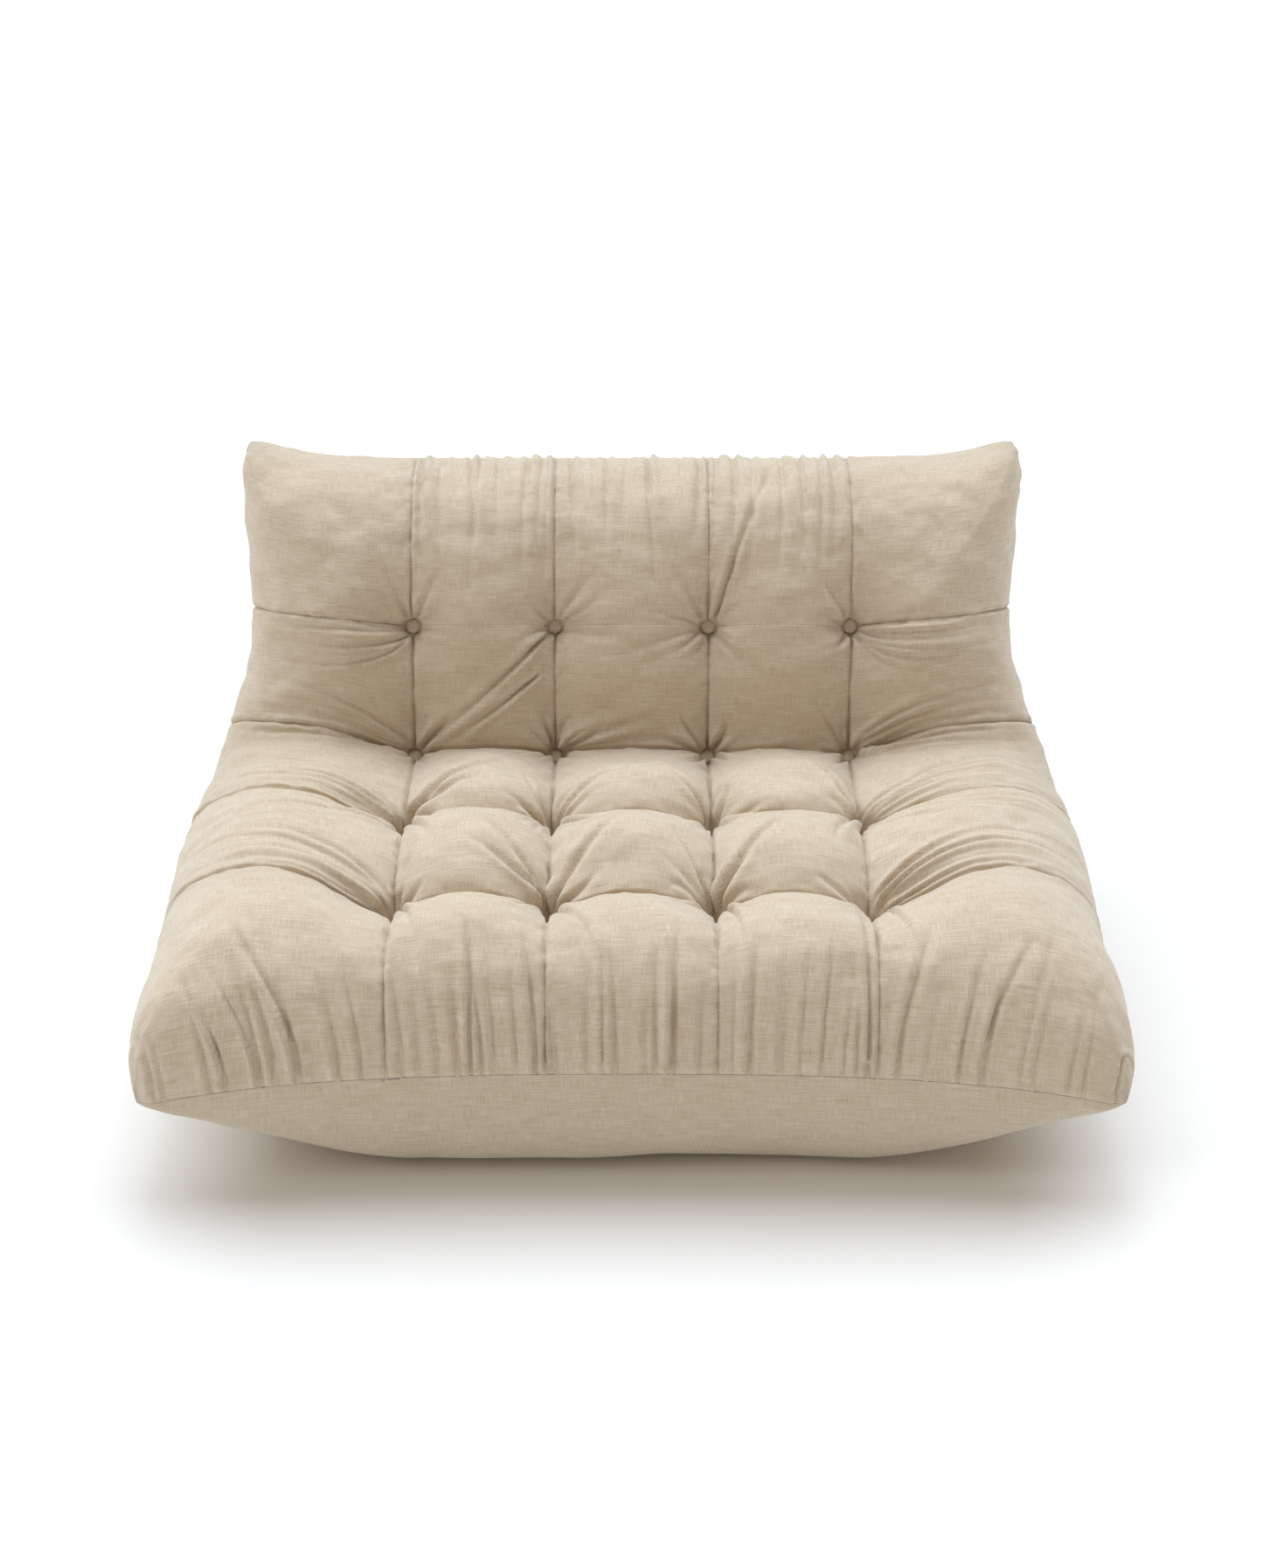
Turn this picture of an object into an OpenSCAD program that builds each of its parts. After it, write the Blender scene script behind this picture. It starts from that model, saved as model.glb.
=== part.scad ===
// Tufted floor lounge seat: one wide quilted pillow, bent into a seat and a back.
// Millimetres, +Z up. The front faces -Y, and the origin is on the floor at the middle
// of the footprint. Every soft piece is cut from one bent pillow, which is measured by
//   c : across, 0 at the left edge, 1 to 4 on the four button columns, 5 at the right edge
//   v : along, 0 at the front seam, 1 to 4 on the four button rows, 5 at the top seam
// and by the depth below its quilted face, or the height above its smooth underside.

/* [Width] */
// Width where the sides of the front tips would meet, before the tips are rounded
front_w = 1200; // [1100:4:1290]
// Width across the arms' pinch at the middle of the back
back_w = 1024; // [940:1:1080]
// Width across the two ears at the top of the back
ear_w = 1052; // [980:1:1100]
// Distance from the centre line to the inner button columns
inner_col = 101; // [85:1:115]
// Distance from the centre line to the outer button columns
outer_col = 288; // [260:1:310]

/* [Height and depth] */
// Height of the front seam above the floor
seam_h = 165; // [145:1:185]
// Height of the seat's crests above the floor
seat_h = 350; // [320:1:380]
// Height of the top seam at the centre line
back_h = 594; // [580:1:660]
// Distance from the front seam to the rear of the back
total_d = 882; // [860:1:930]
// How far the front corner tips stand out past the middle of the front seam
tip_out = 26; // [0:1:40]
// How far the front corner tips hang below the middle of the front seam
tip_drop = 34; // [0:1:36]
// How far the ears stand up above the middle of the top seam
ear_up = 42; // [0:1:50]

/* [Quilting] */
// Depth of a seat button below the crests round it
seat_tuft = 92; // [50:1:100]
// Depth of a back button below the crests round it
back_tuft = 46; // [30:1:60]
// Depth of a seam half-way between two seat buttons, as a share of the buttons' depth
seam_share = 0.45; // [0.2:0.05:0.8]
// Depth of a seam out over the arms, as a share of the buttons' depth
arm_share = 0.1; // [0.05:0.05:0.4]
// Thickness of a quilted pad: cloth, fibre fill and backing
quilt_t = 22; // [12:1:30]
// Thickness of the loose fibre wadding under the quilted pads
wadding_t = 12; // [6:1:16]
// Thickness of the smooth cover sheets
cover_t = 3; // [2:0.5:4]

/* [Buttons] */
// Diameter of a covered button
button_d = 19; // [15:1:24]
// Height of a covered button's dome
button_h = 5; // [3:0.5:7]
// Diameter of the twine that pulls a button down
twine_d = 2; // [1:0.5:3]
// Diameter of the disc that anchors the twine at the underside
disc_d = 28; // [20:1:34]

/* [Base and zip] */
// Width of the anti-slip base panel
base_w = 700; // [600:10:820]
// Depth of the anti-slip base panel
base_d = 560; // [500:10:640]
// Thickness of the anti-slip base panel
base_t = 2.5; // [1.5:0.5:4]
// Length of the zip's chain across the rear
zip_l = 640; // [400:10:680]

/* [Hidden] */
$fn = 48;
COLS = 5;
ROWS = 5;
SEG = 6;                       // mesh steps across one quilted cell
edge_t = 4;                    // half thickness of the pillow along its edge
joint_gap = 1;                 // half the gap between two neighbouring pieces
layer_gap = 2;                 // gap between two layers
flat_share = 0.6;              // share of the half-width that is straight across
keel_share = 0.45;             // share of the half-width over which the front underside is flat
round_n = 2.4;                 // roundness of the pillow's rim, 2 is an ellipse
top_n = 1.9;                   // roundness of the quilted side towards the top seam
tip_r = 55;                    // rounding of the pillow's four tips, seen square to it
plump = 0.55;                  // thickness of the tips, 0 thin, 1 as thick as the edges beside them
puff = 0.62;                   // sharpness of the valleys, 1 is a plain sine
base_y = -13;                  // middle of the base panel
rear_seam_v = 3;               // seam between the underside and the rear panel
zip_v = 4.5;                   // place of the zip in the rear panel
seam_slit = 0.005;             // half the gap between two cover sheets, along v
box_shift = 15.4;              // moves the middle of the footprint onto the origin
floor_z = base_t + 0.3;        // lowest level of the soft pieces

// Driving lines of the bent pillow, one value for each v from 0 to 5
front_y = box_shift - total_d / 2;
SPINE = [
    [front_y, seam_h + 8],
    [front_y + 174, seam_h],
    [front_y + 375, seam_h + 9],
    [front_y + 577, seam_h + 66],
    [front_y + 705, seam_h + 217],
    [front_y + 800, back_h]
];
HALF_W = [front_w / 2, front_w / 2 - 12, front_w / 2 - 12, front_w / 2 - 40, back_w / 2, ear_w / 2];
TOP_H = [seat_h - seam_h - 6, seat_h - seam_h - 4, seat_h - seam_h - 10, 94, 152, 180];
UNDER_H = [184, 184, 205, 280, 166, 78];
TUFT = [seat_tuft, seat_tuft, seat_tuft, back_tuft, back_tuft, back_tuft];
ARM_UP = [0, 0, 0, 26, 24, 0];          // extra fullness of the arms
COLUMN_SHARE = [0.08, 0.42, seam_share, seam_share, 0.28, 0.14];
SLANT = [0, 0.34, 0.38, 0.34, 0.14, 0];    // how far the row seams climb on their way over the arms

// Catmull-Rom curve through the values of p at whole v
function hold(p, i) = p[max(0, min(len(p) - 1, i))];
function curve(p, v) =
    let (i = min(len(p) - 2, max(0, floor(v))), t = v - i,
         a = hold(p, i - 1), b = hold(p, i), c = hold(p, i + 1), d = hold(p, i + 2))
    b + 0.5 * t * ((c - a) + t * ((2 * a - 5 * b + 4 * c - d) + t * (3 * b - 3 * c + d - a)));

// Direction from the underside to the quilted face, square to the spine
function square_to(t) = [-t[1], t[0]] / norm(t);
function face_dir(v) = square_to(curve(SPINE, min(v + 0.02, 5)) - curve(SPINE, max(v - 0.02, 0)));

function smooth_step(t) = let (s = min(1, max(0, t))) s * s * (3 - 2 * s);

// Place along the spine of a point of the quilting
function slant(c, v) = v + curve(SLANT, v) * pow(max(0, abs(c - COLS / 2) - 1.5), 1.2);

// Distance from the centre line
function half_w(c, v) = curve(HALF_W, slant(c, v));
function column_x(c, v) =
    let (w = half_w(c, v), side = c < COLS / 2 ? -1 : 1, k = abs(c - COLS / 2))
    side * (k <= 0.5 ? 2 * k * inner_col
          : k <= 1.5 ? inner_col + (k - 0.5) * (outer_col - inner_col)
          : outer_col + (k - 1.5) * (w - outer_col));

// Fullness of the pillow's two sides, 1 inside and 0 on its edge. The smooth side rises
// early towards the arms under the seat.
function rim(q, n = round_n) = pow(max(0, 1 - pow(max(0, q), n)), 1 / n);
function across_rim(q) = rim((q - flat_share) / (1 - flat_share));
function along_rim(s, n = round_n) = s < 1 ? rim(1 - s) : s > 4 ? rim(s - 4, n) : 1;
function keel(q) = pow(1 - pow(min(1, max(0, (q - keel_share) / (1 - keel_share))), 1.6), 0.8);
function fullness(c, v) =
    let (a = across_rim(abs(column_x(c, v)) / half_w(c, v)), b = along_rim(slant(c, v), top_n))
    pow(a * b, 1 - plump) * pow(min(a, b), plump);
function under_fullness(c, v) =
    let (q = abs(column_x(c, v)) / half_w(c, v), s = slant(c, v), k = keel(q))
    (k + (across_rim(q) - k) * smooth_step((s - 1.2) / 2.2)) * along_rim(s);

// How far a point is from the nearest seam line, 0 on it and 1 in the middle of a cell
function swell(k) =
    let (t = k - floor(k))
    k < 1 ? pow(sin(90 * min(1, 1.5 * (1 - k))), puff)
    : k > 4 ? pow(sin(90 * min(1, 1.5 * (k - 4))), puff)
    : pow(sin(180 * t), puff);

// Depth of the quilting. The inner back has no seam along its button row.
function arm(c) = smooth_step((abs(c - COLS / 2) - 1.5) / 0.45);
function row_share(c, v) =
    let (k = abs(c - COLS / 2),
         seamless = smooth_step((1.58 - k) / 0.08) * smooth_step((v - 3.4) / 0.2))
    (seam_share + (arm_share - seam_share) * arm(c)) * (1 - seamless) * (v > 3.5 ? 0.6 : 1);
function valley(c, v) =
    let (a = swell(c), b = swell(v))
    curve(TUFT, v) * ((1 - a) * (1 - b) + curve(COLUMN_SHARE, v) * (1 - a) * b + row_share(c, v) * a * (1 - b));

// How far a point near one of the four tips moves across and along, to round the tip
function tip_push(c, v) =
    let (s = slant(c, v), end = s < 2.5 ? 0 : ROWS,
         u = 1 - min(1, (half_w(c, v) - abs(column_x(c, v))) / tip_r),
         w = 1 - min(1, norm(curve(SPINE, s) - curve(SPINE, end)) / tip_r))
    [-(c < COLS / 2 ? -1 : 1) * u * (1 - sqrt(1 - w * w / 2)) * tip_r,
     (s < 2.5 ? 1 : -1) * w * (1 - sqrt(1 - u * u / 2)) * tip_r];

// Points of the pillow
function spine_point(c, v) =
    let (s = slant(c, v), q = pow(column_x(c, v) / half_w(c, v), 2), m = curve(SPINE, s),
         n = face_dir(s), push = tip_push(c, v))
    [column_x(c, v) + push[0],
     m[0] + push[1] * n[1] - tip_out * q * pow(max(0, 1 - s), 2),
     m[1] - push[1] * n[0] + ear_up * pow(q, 4) * pow(max(0, s - 4), 2) - tip_drop * q * q * pow(max(0, 1 - s), 2)];
function along_face(c, v, d) = let (n = face_dir(slant(c, v))) [0, n[0] * d, n[1] * d];
function on_floor(p) = [p[0], p[1], max(floor_z, p[2])];
function face_h(c, v) =
    (curve(TOP_H, slant(c, v)) + arm(c) * curve(ARM_UP, slant(c, v)) - valley(c, v)) * fullness(c, v);
function face_point(c, v) = spine_point(c, v) + along_face(c, v, edge_t + face_h(c, v));
function under_point(c, v) =
    on_floor(spine_point(c, v) - along_face(c, v, edge_t + curve(UNDER_H, slant(c, v)) * under_fullness(c, v)));
function below_face(c, v, d) =
    let (p = face_point(c, v), q = under_point(c, v))
    p + (q - p) * min(0.45, d / norm(q - p));
function above_under(c, v, h) =
    let (p = face_point(c, v), q = under_point(c, v))
    q + (p - q) * min(0.45, h / norm(q - p));

// Mesh lines crowd towards the pillow's edge, where it curves most. steps() runs from
// a to b, and mesh_lines() takes whole mesh lines, SEG of them to a quilted cell.
function crowd(k) = k < 1 ? 1 - cos(90 * k) : k > 4 ? 4 + sin(90 * (k - 4)) : k;
function uncrowd(k) = k < 1 ? acos(1 - k) / 90 : k > 4 ? 4 + asin(k - 4) / 90 : k;
function steps(a, b, n) = [for (i = [0:n]) crowd(uncrowd(a) + (uncrowd(b) - uncrowd(a)) * i / n)];
function mesh_lines(a, b) = [for (i = [a:b]) crowd(i / SEG)];

// Closed piece between two grids of points of the same size
module between(low, high) {
    m = len(low);
    n = len(low[0]);
    points = concat([for (row = low) each row], [for (row = high) each row]);
    top = m * n;
    ring = concat([for (i = [0:m - 2]) i * n], [for (j = [0:n - 2]) (m - 1) * n + j],
                  [for (i = [m - 1:-1:1]) i * n + n - 1], [for (j = [n - 1:-1:1]) j]);
    count = len(ring);
    sheets = [for (i = [0:m - 2]) for (j = [0:n - 2])
        let (a = i * n + j, b = a + n, c = b + 1, d = a + 1)
        each [[a, b, c], [a, c, d], [top + a, top + c, top + b], [top + a, top + d, top + c]]];
    walls = [for (k = [0:count - 1])
        let (a = ring[k], b = ring[(k + 1) % count])
        each [[a, top + a, top + b], [a, top + b, b]]];
    polyhedron(points = points, faces = concat(sheets, walls), convexity = 8);
}

// Layer of the pillow, measured down from the quilted face
module face_layer(cs, vs, depth_0, depth_1)
    between([for (c = cs) [for (v = vs) below_face(c, v, depth_1)]],
            [for (c = cs) [for (v = vs) below_face(c, v, depth_0)]]);

// Smooth cover sheet, measured up from the underside
module cover_sheet(vs)
    between([for (c = steps(0, COLS, 20)) [for (v = vs) above_under(c, v, 0)]],
            [for (c = steps(0, COLS, 20)) [for (v = vs) above_under(c, v, cover_t)]]);

// One quilted cell: column i and row j, counted from the left and from the front.
// Its corners are cut back round the buttons.
corner_room = button_d / 2 + 3;
corner_reach = 40;
function inset(d) = joint_gap + (corner_room - joint_gap) * pow(max(0, 1 - d / corner_reach), 2);
function cell_point(i, j, s, t, depth) =
    let (c0 = crowd(i + s), v0 = crowd(j + t),
         wide = abs(column_x(i + 1, v0) - column_x(i, v0)),
         long = norm(curve(SPINE, j + 1) - curve(SPINE, j)),
         from_row = long * min(j > 0 ? t : 1, j < ROWS - 1 ? 1 - t : 1),
         from_col = wide * min(i > 0 ? s : 1, i < COLS - 1 ? 1 - s : 1),
         dc = inset(from_row) / wide, dv = inset(from_col) / long,
         c1 = i > 0 ? i + dc : 0, c2 = i < COLS - 1 ? i + 1 - dc : COLS,
         v1 = j > 0 ? j + dv : 0, v2 = j < ROWS - 1 ? j + 1 - dv : ROWS)
    below_face(c1 + (c2 - c1) * (c0 - i), v1 + (v2 - v1) * (v0 - j), depth);
module quilted_cell(i, j) {
    grid = [for (k = [0:SEG]) k / SEG];
    color([0.80, 0.74, 0.65])
        between([for (s = grid) [for (t = grid) cell_point(i, j, s, t, quilt_t)]],
                [for (s = grid) [for (t = grid) cell_point(i, j, s, t, 0)]]);
}

// Frame on the face at a button: local +Z points out of the quilted face
module at_button(c, v) {
    d = face_dir(v);
    translate(face_point(c, v)) rotate([atan2(-d[0], d[1]), 0, 0]) children();
}
module each_button(rows)
    for (v = rows) for (c = [1:COLS - 1]) at_button(c, v) children();

// Covered button: a shallow dome over a straight rim
dome_r = (pow(button_d / 2, 2) + pow(button_h - 1.5, 2)) / (2 * (button_h - 1.5));
module covered_buttons(row)
    color([0.76, 0.70, 0.60])
        each_button([row])
            intersection() {
                translate([0, 0, button_h - dome_r]) sphere(r = dome_r);
                cylinder(d = button_d, h = button_h);
            }

// Back plate and wire eye under each button
shank_t = 1.5;
eye_r = 2.6;
wire_r = 0.8;
module button_shanks()
    color("silver")
        each_button([1:ROWS - 1])
            translate([0, 0, -shank_t]) {
                cylinder(d = button_d - 4, h = shank_t);
                translate([0, 0, -eye_r])
                    rotate([90, 0, 0])
                        rotate_extrude()
                            translate([eye_r, 0]) circle(r = wire_r);
            }

// Twine from a button's eye down to its anchor disc, and the disc itself
twine_start = shank_t + 2 * eye_r + wire_r;
disc_t = 2.5;
disc_clear = 13;
function disc_lean(v) = v < 4 ? disc_d / 2 * abs(face_dir(v)[0]) : 0;
function to_face(v) = norm(face_point(2, v) - spine_point(2, v));
function to_under(v) =
    min(edge_t + curve(UNDER_H, v), (curve(SPINE, v)[1] - floor_z) / max(0.1, face_dir(v)[1]));
function disc_depth(v) = to_face(v) + to_under(v) - disc_clear - disc_lean(v);
module tufting_twine()
    color("white")
        for (v = [1:ROWS - 1]) for (c = [1:COLS - 1])
            at_button(c, v)
                translate([0, 0, -disc_depth(v)])
                    cylinder(d = twine_d, h = disc_depth(v) - twine_start);
module anchor_discs()
    color("dimgray")
        for (v = [1:ROWS - 1]) for (c = [1:COLS - 1])
            at_button(c, v)
                translate([0, 0, -disc_depth(v) - disc_t])
                    cylinder(d = disc_d, h = disc_t);

// Smooth lower cover: the underside with its front and side lip, and two rear panels
module underside_cover()
    color([0.77, 0.71, 0.62]) cover_sheet(steps(0, rear_seam_v - seam_slit, 12));
module rear_cover_lower()
    color([0.78, 0.72, 0.63]) cover_sheet(steps(rear_seam_v + seam_slit, zip_v - seam_slit, 7));
module rear_cover_upper()
    color([0.79, 0.73, 0.64]) cover_sheet(steps(zip_v + seam_slit, ROWS, 5));

// Filling: a foam core and a fibre wadding over it, for the seat and for the back.
// They share the quilted cells' mesh lines, so that the layers nest.
fill_c = mesh_lines(3, 27);
seat_v = mesh_lines(3, 16);
back_v = mesh_lines(19, 27);
wadding_top = quilt_t + 2 * layer_gap;
foam_top = wadding_top + wadding_t + layer_gap;
foam_clear = 26;
module foam_core(vs)
    between([for (c = fill_c) [for (v = vs) above_under(c, v, foam_clear)]],
            [for (c = fill_c) [for (v = vs) below_face(c, v, foam_top)]]);
module seat_foam() color("khaki") foam_core(seat_v);
module back_foam() color("khaki") foam_core(back_v);
module seat_wadding() color("white") face_layer(fill_c, seat_v, wadding_top, wadding_top + wadding_t);
module back_wadding() color("white") face_layer(fill_c, back_v, wadding_top, wadding_top + wadding_t);

// Anti-slip base panel
base_r = 60;
module base_panel()
    color([0.25, 0.24, 0.23])
        translate([0, base_y, 0])
            linear_extrude(base_t) {
                square([base_w - 2 * base_r, base_d], center = true);
                square([base_w, base_d - 2 * base_r], center = true);
                for (x = [-1, 1]) for (y = [-1, 1])
                    translate([x * (base_w / 2 - base_r), y * (base_d / 2 - base_r)]) circle(r = base_r);
            }

// Zip across the rear panel. In its frame +X is along the zip, +Y is down the panel
// and +Z is out of it.
zip_at = under_point(2.5, zip_v);
zip_slope = under_point(2.5, zip_v + 0.04) - under_point(2.5, zip_v - 0.04);
zip_turn = atan2(-zip_slope[2], -zip_slope[1]);
zip_lift = 1.6;                // height of the zip's frame over the cover
tape_w = 14;
tape_t = 0.6;
coil_h = 2;
coil_w = 2.6;
coil_gap = 0.8;                // half the gap between the two coils
coil_z = 2;                    // height of the coils' underside
slider_x = zip_l / 2 - 14;     // middle of the slider when the zip is shut
module zip_frame()
    translate([0, zip_at[1], zip_at[2]]) rotate([zip_turn, 0, 0]) translate([0, 0, zip_lift]) children();
module along_zip(l) rotate([90, 0, 90]) linear_extrude(l, center = true) children();
module zip_tape(side)
    color([0.70, 0.63, 0.53])
        zip_frame()
            along_zip(zip_l + 24)
                polygon([for (p = [[coil_gap, coil_z - tape_t], [6.4, coil_z - tape_t], [7, 0], [tape_w, 0],
                                   [tape_w, coil_z - tape_t], [tape_w - 1, coil_z], [coil_gap, coil_z]])
                         [side * p[0], p[1]]]);
module zip_coil(side)
    color([0.66, 0.59, 0.49])
        zip_frame()
            along_zip(zip_l)
                translate([side * (coil_gap + coil_w / 2), coil_z + coil_h / 2])
                    square([coil_w, coil_h], center = true);
module zip_end_stops()
    color("silver")
        zip_frame()
            for (x = [-1, 1])
                translate([x * (zip_l / 2 + 3), 0, coil_z + coil_h / 2])
                    cube([5, 2 * coil_gap + 2 * coil_w, coil_h], center = true);

// Slider: two plates joined by a narrow post, side flanges, and two cheeks with a pin
plate_l = 12;
plate_w = 10;
plate_t = 1;
slip = 0.2;
top_z = coil_z + coil_h + slip;
pin_x = -1.5;
pin_z = top_z + plate_t + 2.6;
pin_r = 0.8;
pin_fit = 0.06;
cheek_t = 1;
eye_w = 3;
module slab(l, w, low, high) translate([-l / 2, -w / 2, low]) cube([l, w, high - low]);
module zip_slider()
    color("gainsboro")
        zip_frame()
            translate([slider_x, 0, 0]) {
                slab(plate_l, plate_w, top_z, top_z + plate_t);
                slab(plate_l - 4, 2 * coil_gap - 2 * slip, -0.2, top_z + plate_t);
                slab(plate_l - 2, plate_w, -0.9, -0.1);
                for (s = [-1, 1]) {
                    translate([0, s * (coil_gap + coil_w + slip + 0.5), 0])
                        slab(plate_l - 2, 1, coil_z + slip, top_z + plate_t);
                    translate([pin_x, s * (eye_w / 2 + slip + cheek_t / 2), 0]) {
                        slab(4, cheek_t, top_z, pin_z);
                        translate([0, 0, pin_z]) rotate([90, 0, 0]) cylinder(r = 2, h = cheek_t, center = true);
                    }
                }
                translate([pin_x, 0, pin_z])
                    rotate([90, 0, 0]) cylinder(r = pin_r, h = eye_w + 2 * slip + cheek_t, center = true);
            }

// Pull tab: an eye round the slider's pin and a flat tab with a round end
tab_l = 26;
tab_w = 7;
tab_t = 1.4;
module zip_pull()
    color("silver")
        zip_frame()
            translate([slider_x + pin_x, 0, pin_z])
                difference() {
                    union() {
                        rotate([90, 0, 0]) cylinder(r = 1.8, h = eye_w, center = true);
                        translate([-3.5, 0, 0]) slab(7, eye_w, -tab_t / 2, tab_t / 2);
                        translate([-4 - (tab_l - 8) / 2, 0, 0]) slab(tab_l - 8, tab_w, -tab_t / 2, tab_t / 2);
                        translate([4 - tab_l, 0, 0]) cylinder(d = tab_w, h = tab_t, center = true);
                    }
                    rotate([90, 0, 0]) cylinder(r = pin_r + pin_fit, h = 2 * eye_w, center = true);
                    translate([5 - tab_l, 0, 0]) cylinder(d = 3, h = 2 * tab_t, center = true);
                }

base_panel();
underside_cover();
rear_cover_lower();
rear_cover_upper();
seat_foam();
back_foam();
seat_wadding();
back_wadding();
button_shanks();
tufting_twine();
anchor_discs();
zip_tape(-1);  // zip_tape_upper
zip_tape(1);  // zip_tape_lower
zip_coil(-1);  // zip_coil_upper
zip_coil(1);  // zip_coil_lower
zip_end_stops();
zip_slider();
zip_pull();

// The quilted cells, row by row from the front, and the button rows from the front
ROW_NAMES = ["pad_front_", "pad_seat_front_", "pad_seat_rear_", "pad_back_lower_", "pad_back_upper_"];
for (j = [0:ROWS - 1]) for (i = [0:COLS - 1])
    quilted_cell(i, j);
for (row = [1:ROWS - 1])
    covered_buttons(row);
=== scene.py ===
"""Looks of the tufted lounge seat: its quilted cover, buttons, smooth lower cover and rear zip.

Lengths are metres in the CAD model's frame: +Z up, the front faces -Y. Every soft piece lies on one bent
pillow, which c measures across (0 left edge, 1 to 4 button columns, 5 right edge) and v measures along
(0 front seam, 1 to 4 button rows, 5 top seam).
"""

import itertools
import math

import bpy
import numpy as np
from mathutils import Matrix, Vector


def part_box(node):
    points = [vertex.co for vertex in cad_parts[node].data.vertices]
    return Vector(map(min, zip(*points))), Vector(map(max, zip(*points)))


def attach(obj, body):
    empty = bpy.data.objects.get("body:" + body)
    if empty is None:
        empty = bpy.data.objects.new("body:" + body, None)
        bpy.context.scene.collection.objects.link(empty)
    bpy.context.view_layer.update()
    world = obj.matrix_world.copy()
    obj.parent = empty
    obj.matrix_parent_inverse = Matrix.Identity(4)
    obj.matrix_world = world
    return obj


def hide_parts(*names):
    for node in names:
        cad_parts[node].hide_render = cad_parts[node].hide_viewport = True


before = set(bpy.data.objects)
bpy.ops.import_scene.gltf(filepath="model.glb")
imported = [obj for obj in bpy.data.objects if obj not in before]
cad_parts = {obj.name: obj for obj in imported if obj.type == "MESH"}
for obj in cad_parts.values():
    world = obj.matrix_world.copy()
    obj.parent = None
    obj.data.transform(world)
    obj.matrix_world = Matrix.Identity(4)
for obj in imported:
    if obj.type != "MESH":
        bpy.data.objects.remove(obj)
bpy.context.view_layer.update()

# ---- the bent pillow
COLS = ROWS = 5
X_AXIS = np.array([1, 0, 0])
BUTTON_R = 0.0095
INNER_COL = 0.101
OUTER_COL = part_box("buttons_row_1")[1].x - BUTTON_R
FRONT_HALF = 0.600  # where the sides of a front tip would meet, before the tip is rounded
TIP_OUT = 0.026  # the front corner tips stand out past the front seam
TIP_DROP = 0.034  # and hang below it
EAR_UP = 0.042  # the ears stand up above the top seam
SEAM_H = 0.165
BACK_H = 0.594
FRONT_Y = -0.4256
FLOOR_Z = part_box("base_panel")[1].z + 0.0003
FLAT_SHARE = 0.6
ROUND_N = 2.4
TOP_N = 1.9  # roundness of the quilted side towards the top seam
EDGE_T = 0.0002  # half thickness of the pillow along its edge seam
CAD_EDGE_T = 0.004
TIP_R = 0.055  # rounding of the pillow's four tips, seen square to it
PLUMP_TIPS = 0.55  # 0 thin tips, 1 as thick as the edges beside them
KEEL_SHARE = 0.45  # share of the half-width over which the underside lies flat in front

# One (y, z) point or one value for each whole v from 0 to 5
SPINE = np.array([(FRONT_Y, SEAM_H + 0.008), (FRONT_Y + 0.174, SEAM_H),
                  (FRONT_Y + 0.375, SEAM_H + 0.009), (FRONT_Y + 0.577, SEAM_H + 0.066),
                  (FRONT_Y + 0.705, SEAM_H + 0.217), (FRONT_Y + 0.800, BACK_H)])
HALF_W = np.array([0, -0.012, -0.012, -0.040, -0.088, -0.074]) + FRONT_HALF
TOP_H = np.array([0.179, 0.181, 0.175, 0.094, 0.152, 0.180])
UNDER_H = np.array([0.184, 0.184, 0.205, 0.280, 0.166, 0.078])
TUFT = np.array([0.092, 0.092, 0.092, 0.046, 0.046, 0.046])
SLANT = np.array([0, 0.34, 0.38, 0.34, 0.14, 0])  # how far the row seams climb over the arms
ARM_UP = np.array([0, 0, 0, 0.026, 0.024, 0])  # extra fullness of the arms
PUFF = np.array([0.62, 0.62, 0.62, 0.66, 0.85, 0.95])  # sharpness of the valleys, 1 is a plain sine
COLUMN_SHARE = np.array([0.08, 0.42, 0.45, 0.45, 0.28, 0.14])  # depth of a seam up a button column
ROW_SHARE = 0.45  # depth of a seam along a button row, between two buttons
ARM_SHARE = 0.10  # and out over the arms


def curve(values, v):
    """Catmull-Rom curve through one value (or point) for each whole v."""
    i = np.clip(np.floor(v).astype(int), 0, ROWS - 1)
    a, b, c, d = (values[np.clip(i + k, 0, ROWS)] for k in (-1, 0, 1, 2))
    t = v - i
    if values.ndim > 1:
        t = t[..., None]
    return b + 0.5 * t * ((c - a) + t * ((2 * a - 5 * b + 4 * c - d) + t * (3 * b - 3 * c + d - a)))


def face_dir(v):
    """Unit (y, z) from the underside to the quilted face."""
    t = curve(SPINE, np.minimum(v + 0.02, ROWS)) - curve(SPINE, np.maximum(v - 0.02, 0))
    n = np.stack([-t[..., 1], t[..., 0]], -1)
    return n / np.linalg.norm(n, axis=-1, keepdims=True)


def slant(c, v):
    """Place along the spine of a point of the quilting."""
    return v + curve(SLANT, v) * np.maximum(0, np.abs(c - COLS / 2) - 1.5) ** 1.2


def column_x(c, s):
    """Distance from the centre line, for a place s along the spine."""
    w, k = curve(HALF_W, s), np.abs(c - COLS / 2)
    x = np.where(k <= 0.5, 2 * k * INNER_COL,
                 np.where(k <= 1.5, INNER_COL + (k - 0.5) * (OUTER_COL - INNER_COL),
                          OUTER_COL + (k - 1.5) * (w - OUTER_COL)))
    return np.sign(c - COLS / 2) * x


def rim(q, n=ROUND_N):
    return np.maximum(0, 1 - np.clip(q, 0, 1) ** n) ** (1 / n)


def along_rim(s, n=ROUND_N):
    return np.where(s < 1, rim(1 - s), np.where(s > 4, rim(s - 4, n), 1))


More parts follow.
